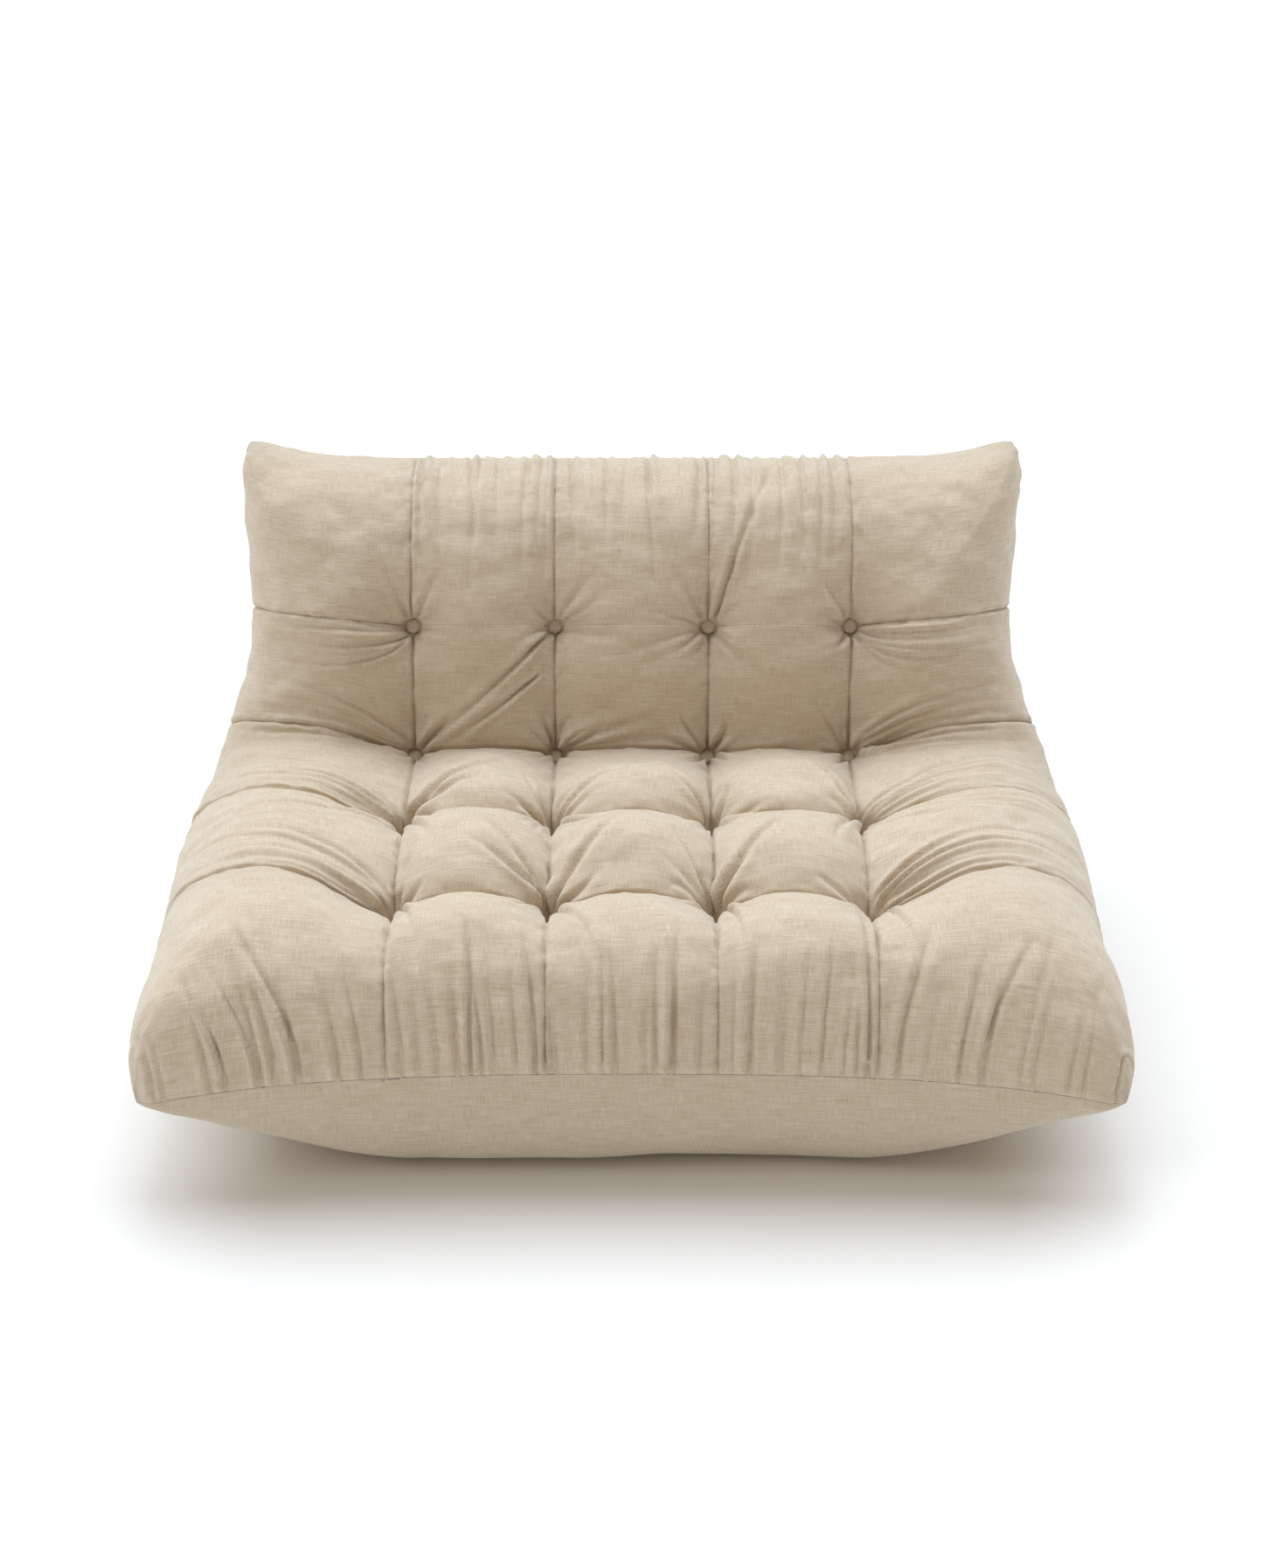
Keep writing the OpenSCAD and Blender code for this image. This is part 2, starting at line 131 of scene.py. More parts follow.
def fullness(c, v):
    """Fullness of the pillow's quilted side, 1 inside and 0 on its edge."""
    s = slant(c, v)
    q = np.abs(column_x(c, s)) / curve(HALF_W, s)
    across, along = rim((q - FLAT_SHARE) / (1 - FLAT_SHARE)), along_rim(s, TOP_N)
    return (across * along) ** (1 - PLUMP_TIPS) * np.minimum(across, along) ** PLUMP_TIPS


def under_fullness(c, v):
    """Fullness of the smooth side, which rises early towards the arms under the seat."""
    s = slant(c, v)
    q = np.abs(column_x(c, s)) / curve(HALF_W, s)
    t = np.clip((q - KEEL_SHARE) / (1 - KEEL_SHARE), 0, 1)
    keel = (1 - t ** 1.6) ** 0.8
    across = keel + (rim((q - FLAT_SHARE) / (1 - FLAT_SHARE)) - keel) * smooth_step((s - 1.2) / 2.2)
    return across * along_rim(s)


def swell(k, puff):
    """0 on a seam line, 1 in the middle of a cell."""
    edge = np.where(k < 1, 1 - k, k - 4)
    outer, inner = np.sin(math.pi / 2 * np.minimum(1, 1.5 * edge)), np.sin(math.pi * (k % 1))
    s = np.where((k < 1) | (k > 4), outer, inner)
    return np.clip(s, 0, 1) ** puff


def smooth_step(t):
    t = np.clip(t, 0, 1)
    return t * t * (3 - 2 * t)


def near_button(c, v, inner, outer):
    """1 within inner of a button, falling to 0 at outer."""
    row, col = np.clip(np.round(v), 1, 4), np.clip(np.round(c), 1, 4)
    dx = column_x(c, v) - column_x(col, v)
    dl = np.linalg.norm(curve(SPINE, v) - curve(SPINE, row), axis=-1)
    return smooth_step((outer - np.hypot(dx, dl)) / (outer - inner))


def arm(c):
    """1 over the arms, 0 between them."""
    return smooth_step((np.abs(c - COLS / 2) - 1.5) / 0.45)


def row_seam(c, v):
    """1 where a seam runs across along a button row. The inner back has none."""
    inner_back = smooth_step((1.58 - np.abs(c - COLS / 2)) / 0.08) * smooth_step((v - 3.4) / 0.2)
    return 1 - inner_back


def valley(c, v):
    """Depth of the quilting."""
    puff = curve(PUFF, v)
    a, b = swell(c, puff), swell(v, puff)
    row_share = (ROW_SHARE + (ARM_SHARE - ROW_SHARE) * arm(c)) * row_seam(c, v) * np.where(v > 3.5, 0.6, 1)
    depth = (1 - a) * (1 - b) + curve(COLUMN_SHARE, v) * (1 - a) * b + row_share * a * (1 - b)
    flat = near_button(c, v, BUTTON_R, 0.020)
    return curve(TUFT, v) * (depth * (1 - flat) + flat)


def rounded_tips(x, s):
    """How far points near the pillow's four tips move across and along, so that the tips become round."""
    u = 1 - np.clip((curve(HALF_W, s) - np.abs(x)) / TIP_R, 0, 1)
    run = np.linalg.norm(curve(SPINE, s) - curve(SPINE, np.where(s < 2.5, 0.0, float(ROWS))), axis=-1)
    w = 1 - np.clip(run / TIP_R, 0, 1)
    return (-np.sign(x) * u * (1 - np.sqrt(1 - w * w / 2)) * TIP_R,
            np.where(s < 2.5, 1, -1) * w * (1 - np.sqrt(1 - u * u / 2)) * TIP_R)


def spine_point(c, v):
    s = slant(c, v)
    x, m, n = column_x(c, s), curve(SPINE, s), face_dir(s)
    q = (x / curve(HALF_W, s)) ** 2
    over, push = rounded_tips(x, s)
    front, back = np.maximum(0, 1 - s) ** 2, np.maximum(0, s - 4) ** 2
    return np.stack([x + over, m[..., 0] + push * n[..., 1] - TIP_OUT * q * front,
                     m[..., 1] - push * n[..., 0] + EAR_UP * q ** 4 * back - TIP_DROP * q * q * front], -1)


def along_face(c, v, d):
    n = face_dir(slant(c, v)) * d[..., None]
    return np.stack([np.zeros_like(d), n[..., 0], n[..., 1]], -1)


def face_point(c, v):
    s = slant(c, v)
    high = curve(TOP_H, s) + arm(c) * curve(ARM_UP, s) - valley(c, v) + CAD_EDGE_T - EDGE_T
    return spine_point(c, v) + along_face(c, v, EDGE_T + high * fullness(c, v))


def under_point(c, v):
    deep = curve(UNDER_H, slant(c, v)) + CAD_EDGE_T - EDGE_T
    p = spine_point(c, v) - along_face(c, v, EDGE_T + deep * under_fullness(c, v))
    p[..., 2] = np.maximum(p[..., 2], FLOOR_Z)
    return p


def towards(p, q, d):
    """Point p moved a distance d towards q, but never past 45% of the way."""
    gap = np.linalg.norm(q - p, axis=-1, keepdims=True)
    return p + (q - p) * np.minimum(0.45, d / np.maximum(gap, 1e-9))


# ---- grids of points
def crowd(k):
    """Crowds mesh lines towards the pillow's edge, where it curves most."""
    return np.where(k < 1, 1 - np.cos(math.pi / 2 * k), np.where(k > 4, 4 + np.sin(math.pi / 2 * (k - 4)), k))


def even_lines(point, across, step):
    """Mesh lines of each cell, evenly spaced on the surface: (all lines, index of each seam line)."""
    lines, seams = [0.0], [0]
    other = np.linspace(0.3, 4.7, 23)
    for cell in range(COLS):
        k = crowd(cell + np.linspace(0, 1, 201))
        a, b = np.meshgrid(k, other, indexing="ij")
        p = point(a, b) if across else point(b, a)
        long = np.linalg.norm(np.diff(p, axis=0), axis=-1).mean(1)
        run = np.concatenate([[0], np.cumsum(long)])
        n = max(4, 2 * round(run[-1] / step / 2))
        lines.extend(np.interp(np.linspace(0, run[-1], n + 1)[1:], run, k))
        seams.append(seams[-1] + n)
    return np.array(lines), seams


def grid_faces(m, n, flip=False):
    a = (np.arange(m - 1)[:, None] * n + np.arange(n - 1)).ravel()
    f = np.stack([a, a + n, a + n + 1, a + 1], -1)
    return f[:, ::-1] if flip else f


def grid_ring(m, n):
    """Indices of a grid's border, going round."""
    index = np.arange(m * n).reshape(m, n)
    return np.concatenate([index[:-1, 0], index[-1, :-1], index[:0:-1, -1], index[0, :0:-1]])


def closed_shell(m, n, flip=False):
    """Faces of two m by n grids, one after the other, and of the walls that join their borders."""
    faces = [*grid_faces(m, n, flip), *(m * n + grid_faces(m, n, not flip))]
    ring = grid_ring(m, n)
    for k, a in enumerate(ring):
        b = ring[(k + 1) % len(ring)]
        wall = (a, b, m * n + b, m * n + a)
        faces.append(wall if flip else (b, a, m * n + a, m * n + b))
    return faces


def run_along(p, axis):
    """Distance run along an axis of a grid of points, from 0 on its first line."""
    step = np.linalg.norm(np.diff(p, axis=axis), axis=-1)
    return np.concatenate([np.zeros_like(np.take(step, [0], axis)), np.cumsum(step, axis)], axis)


def unit(p):
    return p / np.maximum(np.linalg.norm(p, axis=-1, keepdims=True), 1e-12)


def normals(p):
    """Unit normals of a grid of points, out of the quilted face."""
    return unit(np.cross(np.gradient(p, axis=0), np.gradient(p, axis=1)))


def refine(p, axis):
    """One step of cubic subdivision along an axis of a grid, with its ends kept."""
    p = np.moveaxis(p, axis, 0)
    out = np.empty((2 * len(p) - 1,) + p.shape[1:])
    out[1::2] = (p[:-1] + p[1:]) / 2
    out[::2] = p
    out[2:-2:2] = 0.75 * p[1:-1] + 0.125 * (p[:-2] + p[2:])
    return np.moveaxis(out, 0, axis)


def pick(p, index, axis):
    """Grid p at fractional indices along an axis."""
    i = np.clip(np.floor(index).astype(int), 0, p.shape[axis] - 2)
    f = (index - i).reshape([-1 if a == axis else 1 for a in range(p.ndim)])
    return np.take(p, i, axis) * (1 - f) + np.take(p, i + 1, axis) * f


def smooth_noise(rng, shape, cells):
    """Smooth random field of about unit size on a grid of that shape, with about that many bumps each way."""
    k = [max(4, int(n)) for n in cells]
    field = rng.standard_normal((k[0] + 3, k[1] + 3))
    for axis in (0, 1):
        field = np.moveaxis(field, axis, 0)
        t = np.linspace(0, k[axis] - 1e-6, shape[axis])
        i = np.floor(t).astype(int)
        f = (t - i)[:, None]
        w = [(1 - f) ** 3 / 6, (3 * f ** 3 - 6 * f ** 2 + 4) / 6,
             (-3 * f ** 3 + 3 * f ** 2 + 3 * f + 1) / 6, f ** 3 / 6]
        field = np.moveaxis(sum(w[j] * field[i + j] for j in range(4)), 0, axis)
    return field / field.std()


def layered_noise(rng, shape, layers):
    """Sum of smooth random fields, each with its bumps each way and its height."""
    return sum(smooth_noise(rng, shape, cells) * height for cells, height in layers)


# ---- meshes and cloth
def mesh_object(name, points, faces, uv=None):
    me = bpy.data.meshes.new(name)
    me.from_pydata([tuple(p) for p in points], [], [tuple(int(i) for i in f) for f in faces])
    if uv is not None:
        layer = me.uv_layers.new(name="weave")
        index = np.empty(len(me.loops), dtype=np.int32)
        me.loops.foreach_get("vertex_index", index)
        layer.data.foreach_set("uv", np.asarray(uv)[index].astype(np.float32).ravel())
    me.polygons.foreach_set("use_smooth", [True] * len(me.polygons))
    ob = bpy.data.objects.new(name, me)
    bpy.context.scene.collection.objects.link(ob)
    return ob


CLOTH_FRAMES = 20
CLOTH_PRESSURE = 4.0
CLOTH_REACH = 0.026  # the furthest that draping may move a point


def cloth_modifier(ob, cut):
    """Blender's cloth, held by the weights of the group "pins", with the shape key `cut` as its cut shape."""
    cloth = ob.modifiers.new("cloth", "CLOTH")
    s = cloth.settings
    s.quality = 4
    s.mass = 0.15
    s.air_damping = 3
    s.bending_model = "ANGULAR"
    s.tension_stiffness = s.compression_stiffness = 15
    s.shear_stiffness = 5
    s.tension_damping = s.compression_damping = s.shear_damping = 5
    s.bending_stiffness = 0.6
    s.bending_damping = 0.5
    s.use_pressure = True
    s.uniform_pressure_force = CLOTH_PRESSURE
    s.vertex_group_mass = "pins"
    s.pin_stiffness = 1
    s.rest_shape_key = cut
    s.effector_weights.gravity = 0
    cloth.collision_settings.use_collision = False
    cloth.point_cache.frame_start, cloth.point_cache.frame_end = 1, CLOTH_FRAMES


def drape(points, rest, pins):
    """Drapes a grid of points that pin weights hold, with another grid as its cut shape."""
    m, n = points.shape[:2]
    ob = mesh_object("draping", points.reshape(-1, 3), grid_faces(m, n))
    ob.shape_key_add(name="Basis")
    cut = ob.shape_key_add(name="Cut")
    cut.data.foreach_set("co", rest.reshape(-1).astype(np.float32))
    group = ob.vertex_groups.new(name="pins")
    weights = np.round(pins.ravel(), 2)
    for w in np.unique(weights[weights > 0]):
        group.add(np.flatnonzero(weights == w).tolist(), float(w), "REPLACE")
    cloth_modifier(ob, cut)
    scene = bpy.context.scene
    for f in range(1, CLOTH_FRAMES + 1):
        scene.frame_set(f)
    done = ob.evaluated_get(bpy.context.evaluated_depsgraph_get())
    co = np.empty(m * n * 3, dtype=np.float32)
    done.data.vertices.foreach_get("co", co)
    scene.frame_set(1)
    me = ob.data
    bpy.data.objects.remove(ob)
    bpy.data.meshes.remove(me)
    move = co.reshape(m, n, 3).astype(float) - points
    far = np.linalg.norm(move, axis=-1, keepdims=True)
    return points + move * np.minimum(1, CLOTH_REACH / np.maximum(far, 1e-9))


def flat_cut(points, window, extra_c, extra_v):
    """The flat cloth that just fits the crests of a grid of points, with a share of extra cloth each way."""
    def crest(long, axis):
        top = long.copy()
        for shift in range(1, window + 1):
            for sign in (-shift, shift):
                top = np.maximum(top, np.roll(long, sign, axis=axis))
        pad = np.pad(top, [(window, window) if a == axis else (0, 0) for a in (0, 1)], mode="edge")
        blur = np.ones(2 * window + 1) / (2 * window + 1)
        return np.apply_along_axis(lambda r: np.convolve(r, blur, "valid"), axis, pad)
    m, n = points.shape[:2]
    lc = crest(np.linalg.norm(np.diff(points, axis=0), axis=-1), 1) * (1 + extra_c)
    lv = crest(np.linalg.norm(np.diff(points, axis=1), axis=-1), 0) * (1 + extra_v)
    x = np.concatenate([np.zeros((1, n)), np.cumsum(lc, 0)])
    x -= x[m // 2]
    y = np.concatenate([np.zeros((m, 1)), np.cumsum(lv, 1)], 1)
    return np.stack([x, y, np.zeros_like(x)], -1)


# ---- folds
# Listed folds: width and depth in mm, then c and v of three points, first the end that is held
PLEATS = [
    # front face
    (15, 7.0, 1.53, 0.00, 1.54, 0.22, 1.50, 0.62), (17, 8.0, 0.67, 0.00, 0.56, 0.18, 0.36, 0.52),
    (14, 5.0, 2.72, 0.00, 2.77, 0.20, 2.62, 0.55), (20, 5.5, 2.03, 0.97, 2.24, 0.50, 2.34, 0.10),
    (13, 5.0, 2.03, 0.00, 2.02, 0.10, 1.97, 0.30), (16, 5.5, 3.07, 0.97, 3.14, 0.60, 3.17, 0.15),
    (14, 6.0, 3.94, 0.00, 3.93, 0.30, 3.92, 0.80), (15, 5.0, 4.06, 0.98, 4.10, 0.60, 4.16, 0.22),
    (16, 5.0, 4.38, 0.00, 4.47, 0.15, 4.62, 0.42), (13, 4.0, 0.40, 0.00, 0.31, 0.10, 0.22, 0.24),
    (13, 4.0, 0.52, 0.00, 0.42, 0.12, 0.30, 0.30), (16, 4.0, 1.06, 0.97, 1.14, 0.60, 1.20, 0.22),
    # seat front
    (19, 9.0, 1.97, 1.05, 1.82, 1.30, 1.50, 1.62), (15, 6.0, 1.90, 1.10, 1.66, 1.22, 1.42, 1.40),
    (19, 8.5, 2.03, 1.05, 2.20, 1.30, 2.46, 1.60), (15, 5.0, 2.96, 1.06, 2.86, 1.30, 2.74, 1.52),
    (19, 8.5, 3.03, 1.05, 3.20, 1.30, 3.50, 1.62), (16, 7.0, 3.96, 1.95, 3.86, 1.76, 3.80, 1.42),
    (15, 6.0, 3.94, 1.90, 3.76, 1.80, 3.56, 1.74), (16, 7.0, 1.04, 1.95, 1.14, 1.74, 1.20, 1.44),
    (14, 5.5, 1.05, 1.90, 1.24, 1.82, 1.42, 1.72), (14, 5.0, 2.05, 1.94, 2.20, 1.82, 2.30, 1.66),
    (14, 5.0, 1.95, 1.94, 1.84, 1.80, 1.78, 1.62), (14, 5.0, 3.05, 1.94, 3.20, 1.84, 3.32, 1.70),
    # seat rear
    (18, 8.0, 1.03, 2.05, 1.34, 2.36, 1.66, 2.60), (15, 5.5, 1.08, 2.10, 1.30, 2.20, 1.52, 2.30),
    (18, 7.5, 2.97, 2.05, 2.82, 2.32, 2.60, 2.58), (17, 7.5, 3.97, 2.06, 3.86, 2.40, 3.64, 2.74),
    (15, 5.0, 2.05, 2.06, 2.20, 2.26, 2.42, 2.40), (15, 5.5, 3.04, 2.07, 3.16, 2.30, 3.24, 2.52),
    (15, 5.0, 1.95, 2.06, 1.86, 2.22, 1.80, 2.40), (14, 5.0, 3.90, 2.92, 3.72, 2.80, 3.58, 2.68),
    # lower back
    (15, 7.0, 1.95, 3.95, 1.55, 3.52, 1.14, 3.10), (13, 5.5, 1.86, 3.62, 1.52, 3.30, 1.24, 3.06),
    (22, 4.0, 2.95, 3.98, 2.70, 3.90, 2.32, 3.78), (22, 3.5, 2.08, 3.98, 2.30, 3.92, 2.52, 3.90),
    (20, 5.5, 2.04, 3.03, 2.30, 3.16, 2.74, 3.34), (18, 4.5, 2.06, 3.02, 2.36, 3.06, 2.72, 3.12),
    (14, 5.0, 2.95, 3.04, 2.86, 3.20, 2.80, 3.36), (18, 5.0, 3.96, 3.05, 3.84, 3.26, 3.72, 3.52),
    (20, 3.5, 3.05, 3.95, 3.26, 3.74, 3.44, 3.60), (16, 4.5, 1.05, 3.04, 1.16, 3.16, 1.26, 3.30),
    # upper back
    (14, 7.0, 3.04, 4.07, 3.14, 4.45, 3.50, 4.98), (18, 4.0, 0.98, 4.05, 0.93, 4.20, 0.84, 4.36),
    (18, 3.5, 1.03, 4.05, 1.10, 4.24, 1.22, 4.40), (16, 4.0, 1.06, 4.98, 1.07, 4.80, 1.05, 4.50),
    (15, 4.5, 1.94, 4.98, 1.95, 4.70, 1.93, 4.30), (18, 3.5, 2.97, 4.06, 2.88, 4.24, 2.74, 4.40),
    (18, 3.0, 2.03, 4.06, 2.12, 4.22, 2.26, 4.36), (16, 4.0, 3.97, 4.05, 3.88, 4.22, 3.72, 4.42),
]


ARM_FOLDS = 6  # on each side of a row seam
FRONT_GATHERS = (8, 9)  # along the front seam of an inner and of an outer cell
TOP_GATHERS = (7, 0)  # and along the top seam
TUFT_FOLDS = 3  # into each inner quarter round a tuft


def arm_folds(rng):
    """Long folds that fan out from the tufts and run over the arms beside the row seams."""
    folds = []
    for tuft, way in ((1, -1), (4, 1)):
        for row in (1, 2, 3):
            for end, up in ((row, 1), (row + 1, -1)):
                for k in range(ARM_FOLDS):
                    reach = rng.uniform(0.55, 1.0)
                    apart = 0.03 + 0.07 * k + rng.uniform(-0.02, 0.02)
                    depth = rng.uniform(3.6, 7.5) * (1 - 0.09 * k)
                    folds.append((rng.uniform(11, 19), depth,
                                  tuft + way * rng.uniform(0.03, 0.07), end + up * (0.02 + 0.02 * k),
                                  tuft + way * 0.42 * reach, end + up * apart * 1.15,
                                  tuft + way * reach, end + up * apart))
    return folds


def seam_gathers(rng):
    """Short soft gathers that rise from the front seam and hang from the top seam."""
    folds = []
    for cell in range(COLS):
        outer = cell in (0, COLS - 1)
        count = FRONT_GATHERS[outer]
        for k in range(count):
            c = cell + (k + rng.uniform(0.1, 0.9)) / count
            lean = 0.22 * (c - COLS / 2) / 2.5 + rng.uniform(-0.05, 0.05)
            reach = rng.uniform(0.16, 0.62)
            middle = 0.5 + (c - 0.5 - cell) * 0.9 + cell
            folds.append((rng.uniform(11, 24), rng.uniform(1.6, 5.8), middle, 0.0,
                          middle + lean * reach, 0.4 * reach, middle + 2 * lean * reach, reach))
        count = TOP_GATHERS[outer]
        for k in range(count):
            c = cell + (k + rng.uniform(0.2, 0.8)) / count
            folds.append((rng.uniform(13, 22), rng.uniform(3.0, 6.5), c, 5.0,
                          c + rng.uniform(-0.04, 0.04), 4.75,
                          c + rng.uniform(-0.08, 0.08), rng.uniform(4.15, 4.5)))
    return folds


def tuft_folds(rng):
    """Small folds that run from a tuft into the inner cells round it."""
    folds = []
    for col, row, way, up in itertools.product(range(1, COLS), range(1, ROWS), (-1, 1), (-1, 1)):
        if not 1 < col + 0.5 * way < 4:
            continue
        for _ in range(TUFT_FOLDS):
            turn = rng.uniform(0.20, 1.35)
            reach = rng.uniform(0.22, 0.46)
            depth = rng.uniform(2.6, 6.0) * (1.0 if row < 4 else 0.5)
            dc, dv = way * math.cos(turn), up * math.sin(turn)
            bend = rng.uniform(-0.08, 0.08)
            folds.append((rng.uniform(11, 17), depth, col + 0.07 * dc, row + 0.07 * dv,
                          col + 0.5 * reach * dc + bend, row + 0.5 * reach * dv - bend,
                          col + reach * dc, row + reach * dv))
    return folds


FOLD_GAIN = 1.4
FOLD_STEPS = 36
CELL_REACH = 0.22  # how far past its line, in c and v, a fold may reach


def fold_profile(s):
    """Height across a fold of unit depth: a crisp crease between a full lip and a lower one."""
    return (0.62 * np.exp(-((s - 0.62) / 0.50) ** 2) + 0.30 * np.exp(-((s + 0.72) / 0.50) ** 2)
            - 0.95 * np.exp(-(s / 0.26) ** 2))


def fold_track(path):
    """Smooth line in (c, v) through the cloth from a fold's three points."""
    t = np.linspace(0, 1, FOLD_STEPS)[:, None]
    a, b, c = np.reshape(path, (3, 2))
    return (1 - t) ** 2 * a + 2 * t * (1 - t) * b + t ** 2 * c


def fold_area(track, lines):
    """Mesh lines that a fold may reach: those near it, in the quilted cell where its middle lies."""
    cell = np.clip(np.floor(track[len(track) // 2]), 0, COLS - 1)
    low = np.maximum(track.min(0) - CELL_REACH, cell)
    high = np.minimum(track.max(0) + CELL_REACH, cell + 1)
    return np.ix_(*(np.flatnonzero((at >= low[k]) & (at <= high[k])) for k, at in enumerate(lines)))


def on_grid(track, lines, points):
    """The points of a grid under a line in (c, v)."""
    i, j = (np.interp(track[:, k], at, np.arange(len(at))) for k, at in enumerate(lines))
    i0, j0 = np.minimum(i.astype(int), len(lines[0]) - 2), np.minimum(j.astype(int), len(lines[1]) - 2)
    fi, fj = (i - i0)[:, None], (j - j0)[:, None]
    return ((points[i0, j0] * (1 - fi) + points[i0 + 1, j0] * fi) * (1 - fj)
            + (points[i0, j0 + 1] * (1 - fi) + points[i0 + 1, j0 + 1] * fi) * fj)


def fold_heights(lines, points, normal, folds):
    """Height of the folds over a grid."""
    height = np.zeros(points.shape[:2])
    for width, depth, *path in folds:
        track = fold_track(path)
        area = fold_area(track, lines)
        line = on_grid(track, lines, points)
        ahead = unit(np.gradient(line, axis=0))
        p = points[area]
        far = ((p[:, :, None, :] - line) ** 2).sum(-1)
        near = far.argmin(-1)
        off, dist = p - line[near], np.sqrt(far.min(-1))
        along = (off * ahead[near]).sum(-1)
        long = np.linalg.norm(np.diff(line, axis=0), axis=-1).sum()
        share = np.clip(near / (FOLD_STEPS - 1) + along / long, 0, 1)
        w = width / 1000 * (0.6 + 0.55 * share)
        side = (off * np.cross(normal[area], ahead[near])).sum(-1) / w
        fade = (1 - share) ** 0.8 * smooth_step((2.6 - dist / w) / 0.8)
        past = np.where((near == 0) & (along < 0), along / w, 0)
        height[area] += FOLD_GAIN * depth / 1000 * fold_profile(side) * fade * np.exp(-past ** 2)
    return height


# ---- materials
class Nodes:
    """A short way to build a material's node tree."""

    def __init__(self, name, colour, roughness, **inputs):
        self.mat = bpy.data.materials.new(name)
        self.mat.use_nodes = True
        self.tree = self.mat.node_tree
        self.shader = self.tree.nodes["Principled BSDF"]
        self.shader.inputs["Base Color"].default_value = (*colour, 1)
        self.shader.inputs["Roughness"].default_value = roughness
        for key, value in inputs.items():
            self.shader.inputs[key.replace("_", " ")].default_value = value
        self.mat.diffuse_color = (*colour, 1)

    def add(self, kind, settings=None, **links):
        node = self.tree.nodes.new("ShaderNode" + kind)
        for key, value in (settings or {}).items():
            setattr(node, key, value)
        for key, value in links.items():
            numbered = key[0] == "i" and key[1:].isdigit()
            socket = node.inputs[int(key[1:])] if numbered else node.inputs[key.replace("_", " ")]
            if isinstance(value, bpy.types.NodeSocket):
                self.tree.links.new(value, socket)
            else:
                socket.default_value = value
        return node

    def place(self):
        return self.add("TexCoord").outputs["Object"]

    def math(self, operation, a, b=0.0, c=0.0):
        return self.add("Math", {"operation": operation}, i0=a, i1=b, i2=c).outputs[0]

    def noise(self, vector, scale, detail=2.0, roughness=0.5):
        node = self.add("TexNoise", None, Vector=vector, Scale=scale, Detail=detail, Roughness=roughness)
        return node.outputs["Fac"]

    def stretch(self, vector, scale):
        return self.add("Mapping", None, Vector=vector, Scale=scale).outputs[0]

    def mix(self, factor, a, b):
        node = self.add("Mix", {"data_type": "RGBA"})
        for key, value in ((0, factor), (6, a), (7, b)):
            if isinstance(value, bpy.types.NodeSocket):
                self.tree.links.new(value, node.inputs[key])
            else:
                node.inputs[key].default_value = value if key == 0 else (*value, 1)
        return node.outputs[2]

    def cells(self, scale, **inputs):
        node = self.add("TexVoronoi", {"feature": "F1"}, Vector=self.place(), Scale=scale, **inputs)
        return node.outputs["Distance"]

    def blend(self, *shares):
        """Sum of (socket, share) pairs."""
        total, *others = (self.math("MULTIPLY", socket, share) for socket, share in shares)
        for part in others:
            total = self.math("ADD", total, part)
        return total

    def finish(self, factor, dark, light, height, distance, strength=1.0):
        """Colours the material between two shades, bumps it, and gives it."""
        self.tree.links.new(self.mix(factor, dark, light), self.shader.inputs["Base Color"])
        node = self.add("Bump", None, Height=height, Distance=distance, Strength=strength)
        self.tree.links.new(node.outputs[0], self.shader.inputs["Normal"])
        return self.mat


LINEN_LIGHT = (0.71, 0.608, 0.478)
LINEN_DARK = (0.49, 0.382, 0.257)


def linen(name, tint=1.0):
    """Heathered linen with a fine herringbone weave; its UV map is in metres."""
    light, dark = (tuple(tint * x for x in colour) for colour in (LINEN_LIGHT, LINEN_DARK))
    n = Nodes(name, light, 0.92, Sheen_Weight=0.4, Sheen_Roughness=0.5, Specular_IOR_Level=0.2)
    uv = n.add("UVMap", {"uv_map": "weave"}).outputs[0]
    axes = n.add("SeparateXYZ", None, Vector=uv)
    u, w = axes.outputs[0], axes.outputs[1]
    rib, pitch = 0.0066, 0.0034         # width of a herringbone rib pair, and of one row of it
    zig = n.math("PINGPONG", n.math("DIVIDE", u, rib / 2), 1.0)
    stripe = n.math("SINE", n.math("MULTIPLY", n.math("ADD", zig, n.math("DIVIDE", w, pitch)), 2 * math.pi))
    warp = n.noise(n.stretch(uv, (1100, 45, 1)), 1.0, 2)
    weft = n.noise(n.stretch(uv, (38, 1000, 1)), 1.0, 2)
    slub = n.noise(n.stretch(uv, (14, 420, 1)), 1.0, 3, 0.6)
    blotch = n.noise(n.stretch(uv, (22, 22, 1)), 1.0, 4, 0.6)
    mixed = n.blend((warp, 0.42), (weft, 0.42), (slub, 0.30), (blotch, 0.08), (stripe, 0.035))
    shade = n.add("MapRange", None, Value=mixed, From_Min=0.47, From_Max=0.75).outputs[0]
    height = n.math("ADD", n.math("MULTIPLY", stripe, 0.35), n.math("ADD", warp, weft))
    return n.finish(shade, dark, light, height, 0.00035, 0.9)


def foam():
    n = Nodes("foam_cream", (0.78, 0.72, 0.50), 0.9)
    pores = n.cells(650.0)
    tone = n.math("MULTIPLY", n.math("ADD", pores, n.noise(n.place(), 9.0, 3)), 0.6)
    return n.finish(tone, (0.58, 0.50, 0.31), (0.84, 0.79, 0.58), pores, 0.0008)


def fibre():
    n = Nodes("fibre_white", (0.86, 0.86, 0.84), 0.95, Sheen_Weight=0.5)
    strands = n.noise(n.stretch(n.place(), (260, 60, 60)), 1.0, 5, 0.7)
    return n.finish(strands, (0.72, 0.72, 0.69), (0.93, 0.93, 0.91), strands, 0.004)


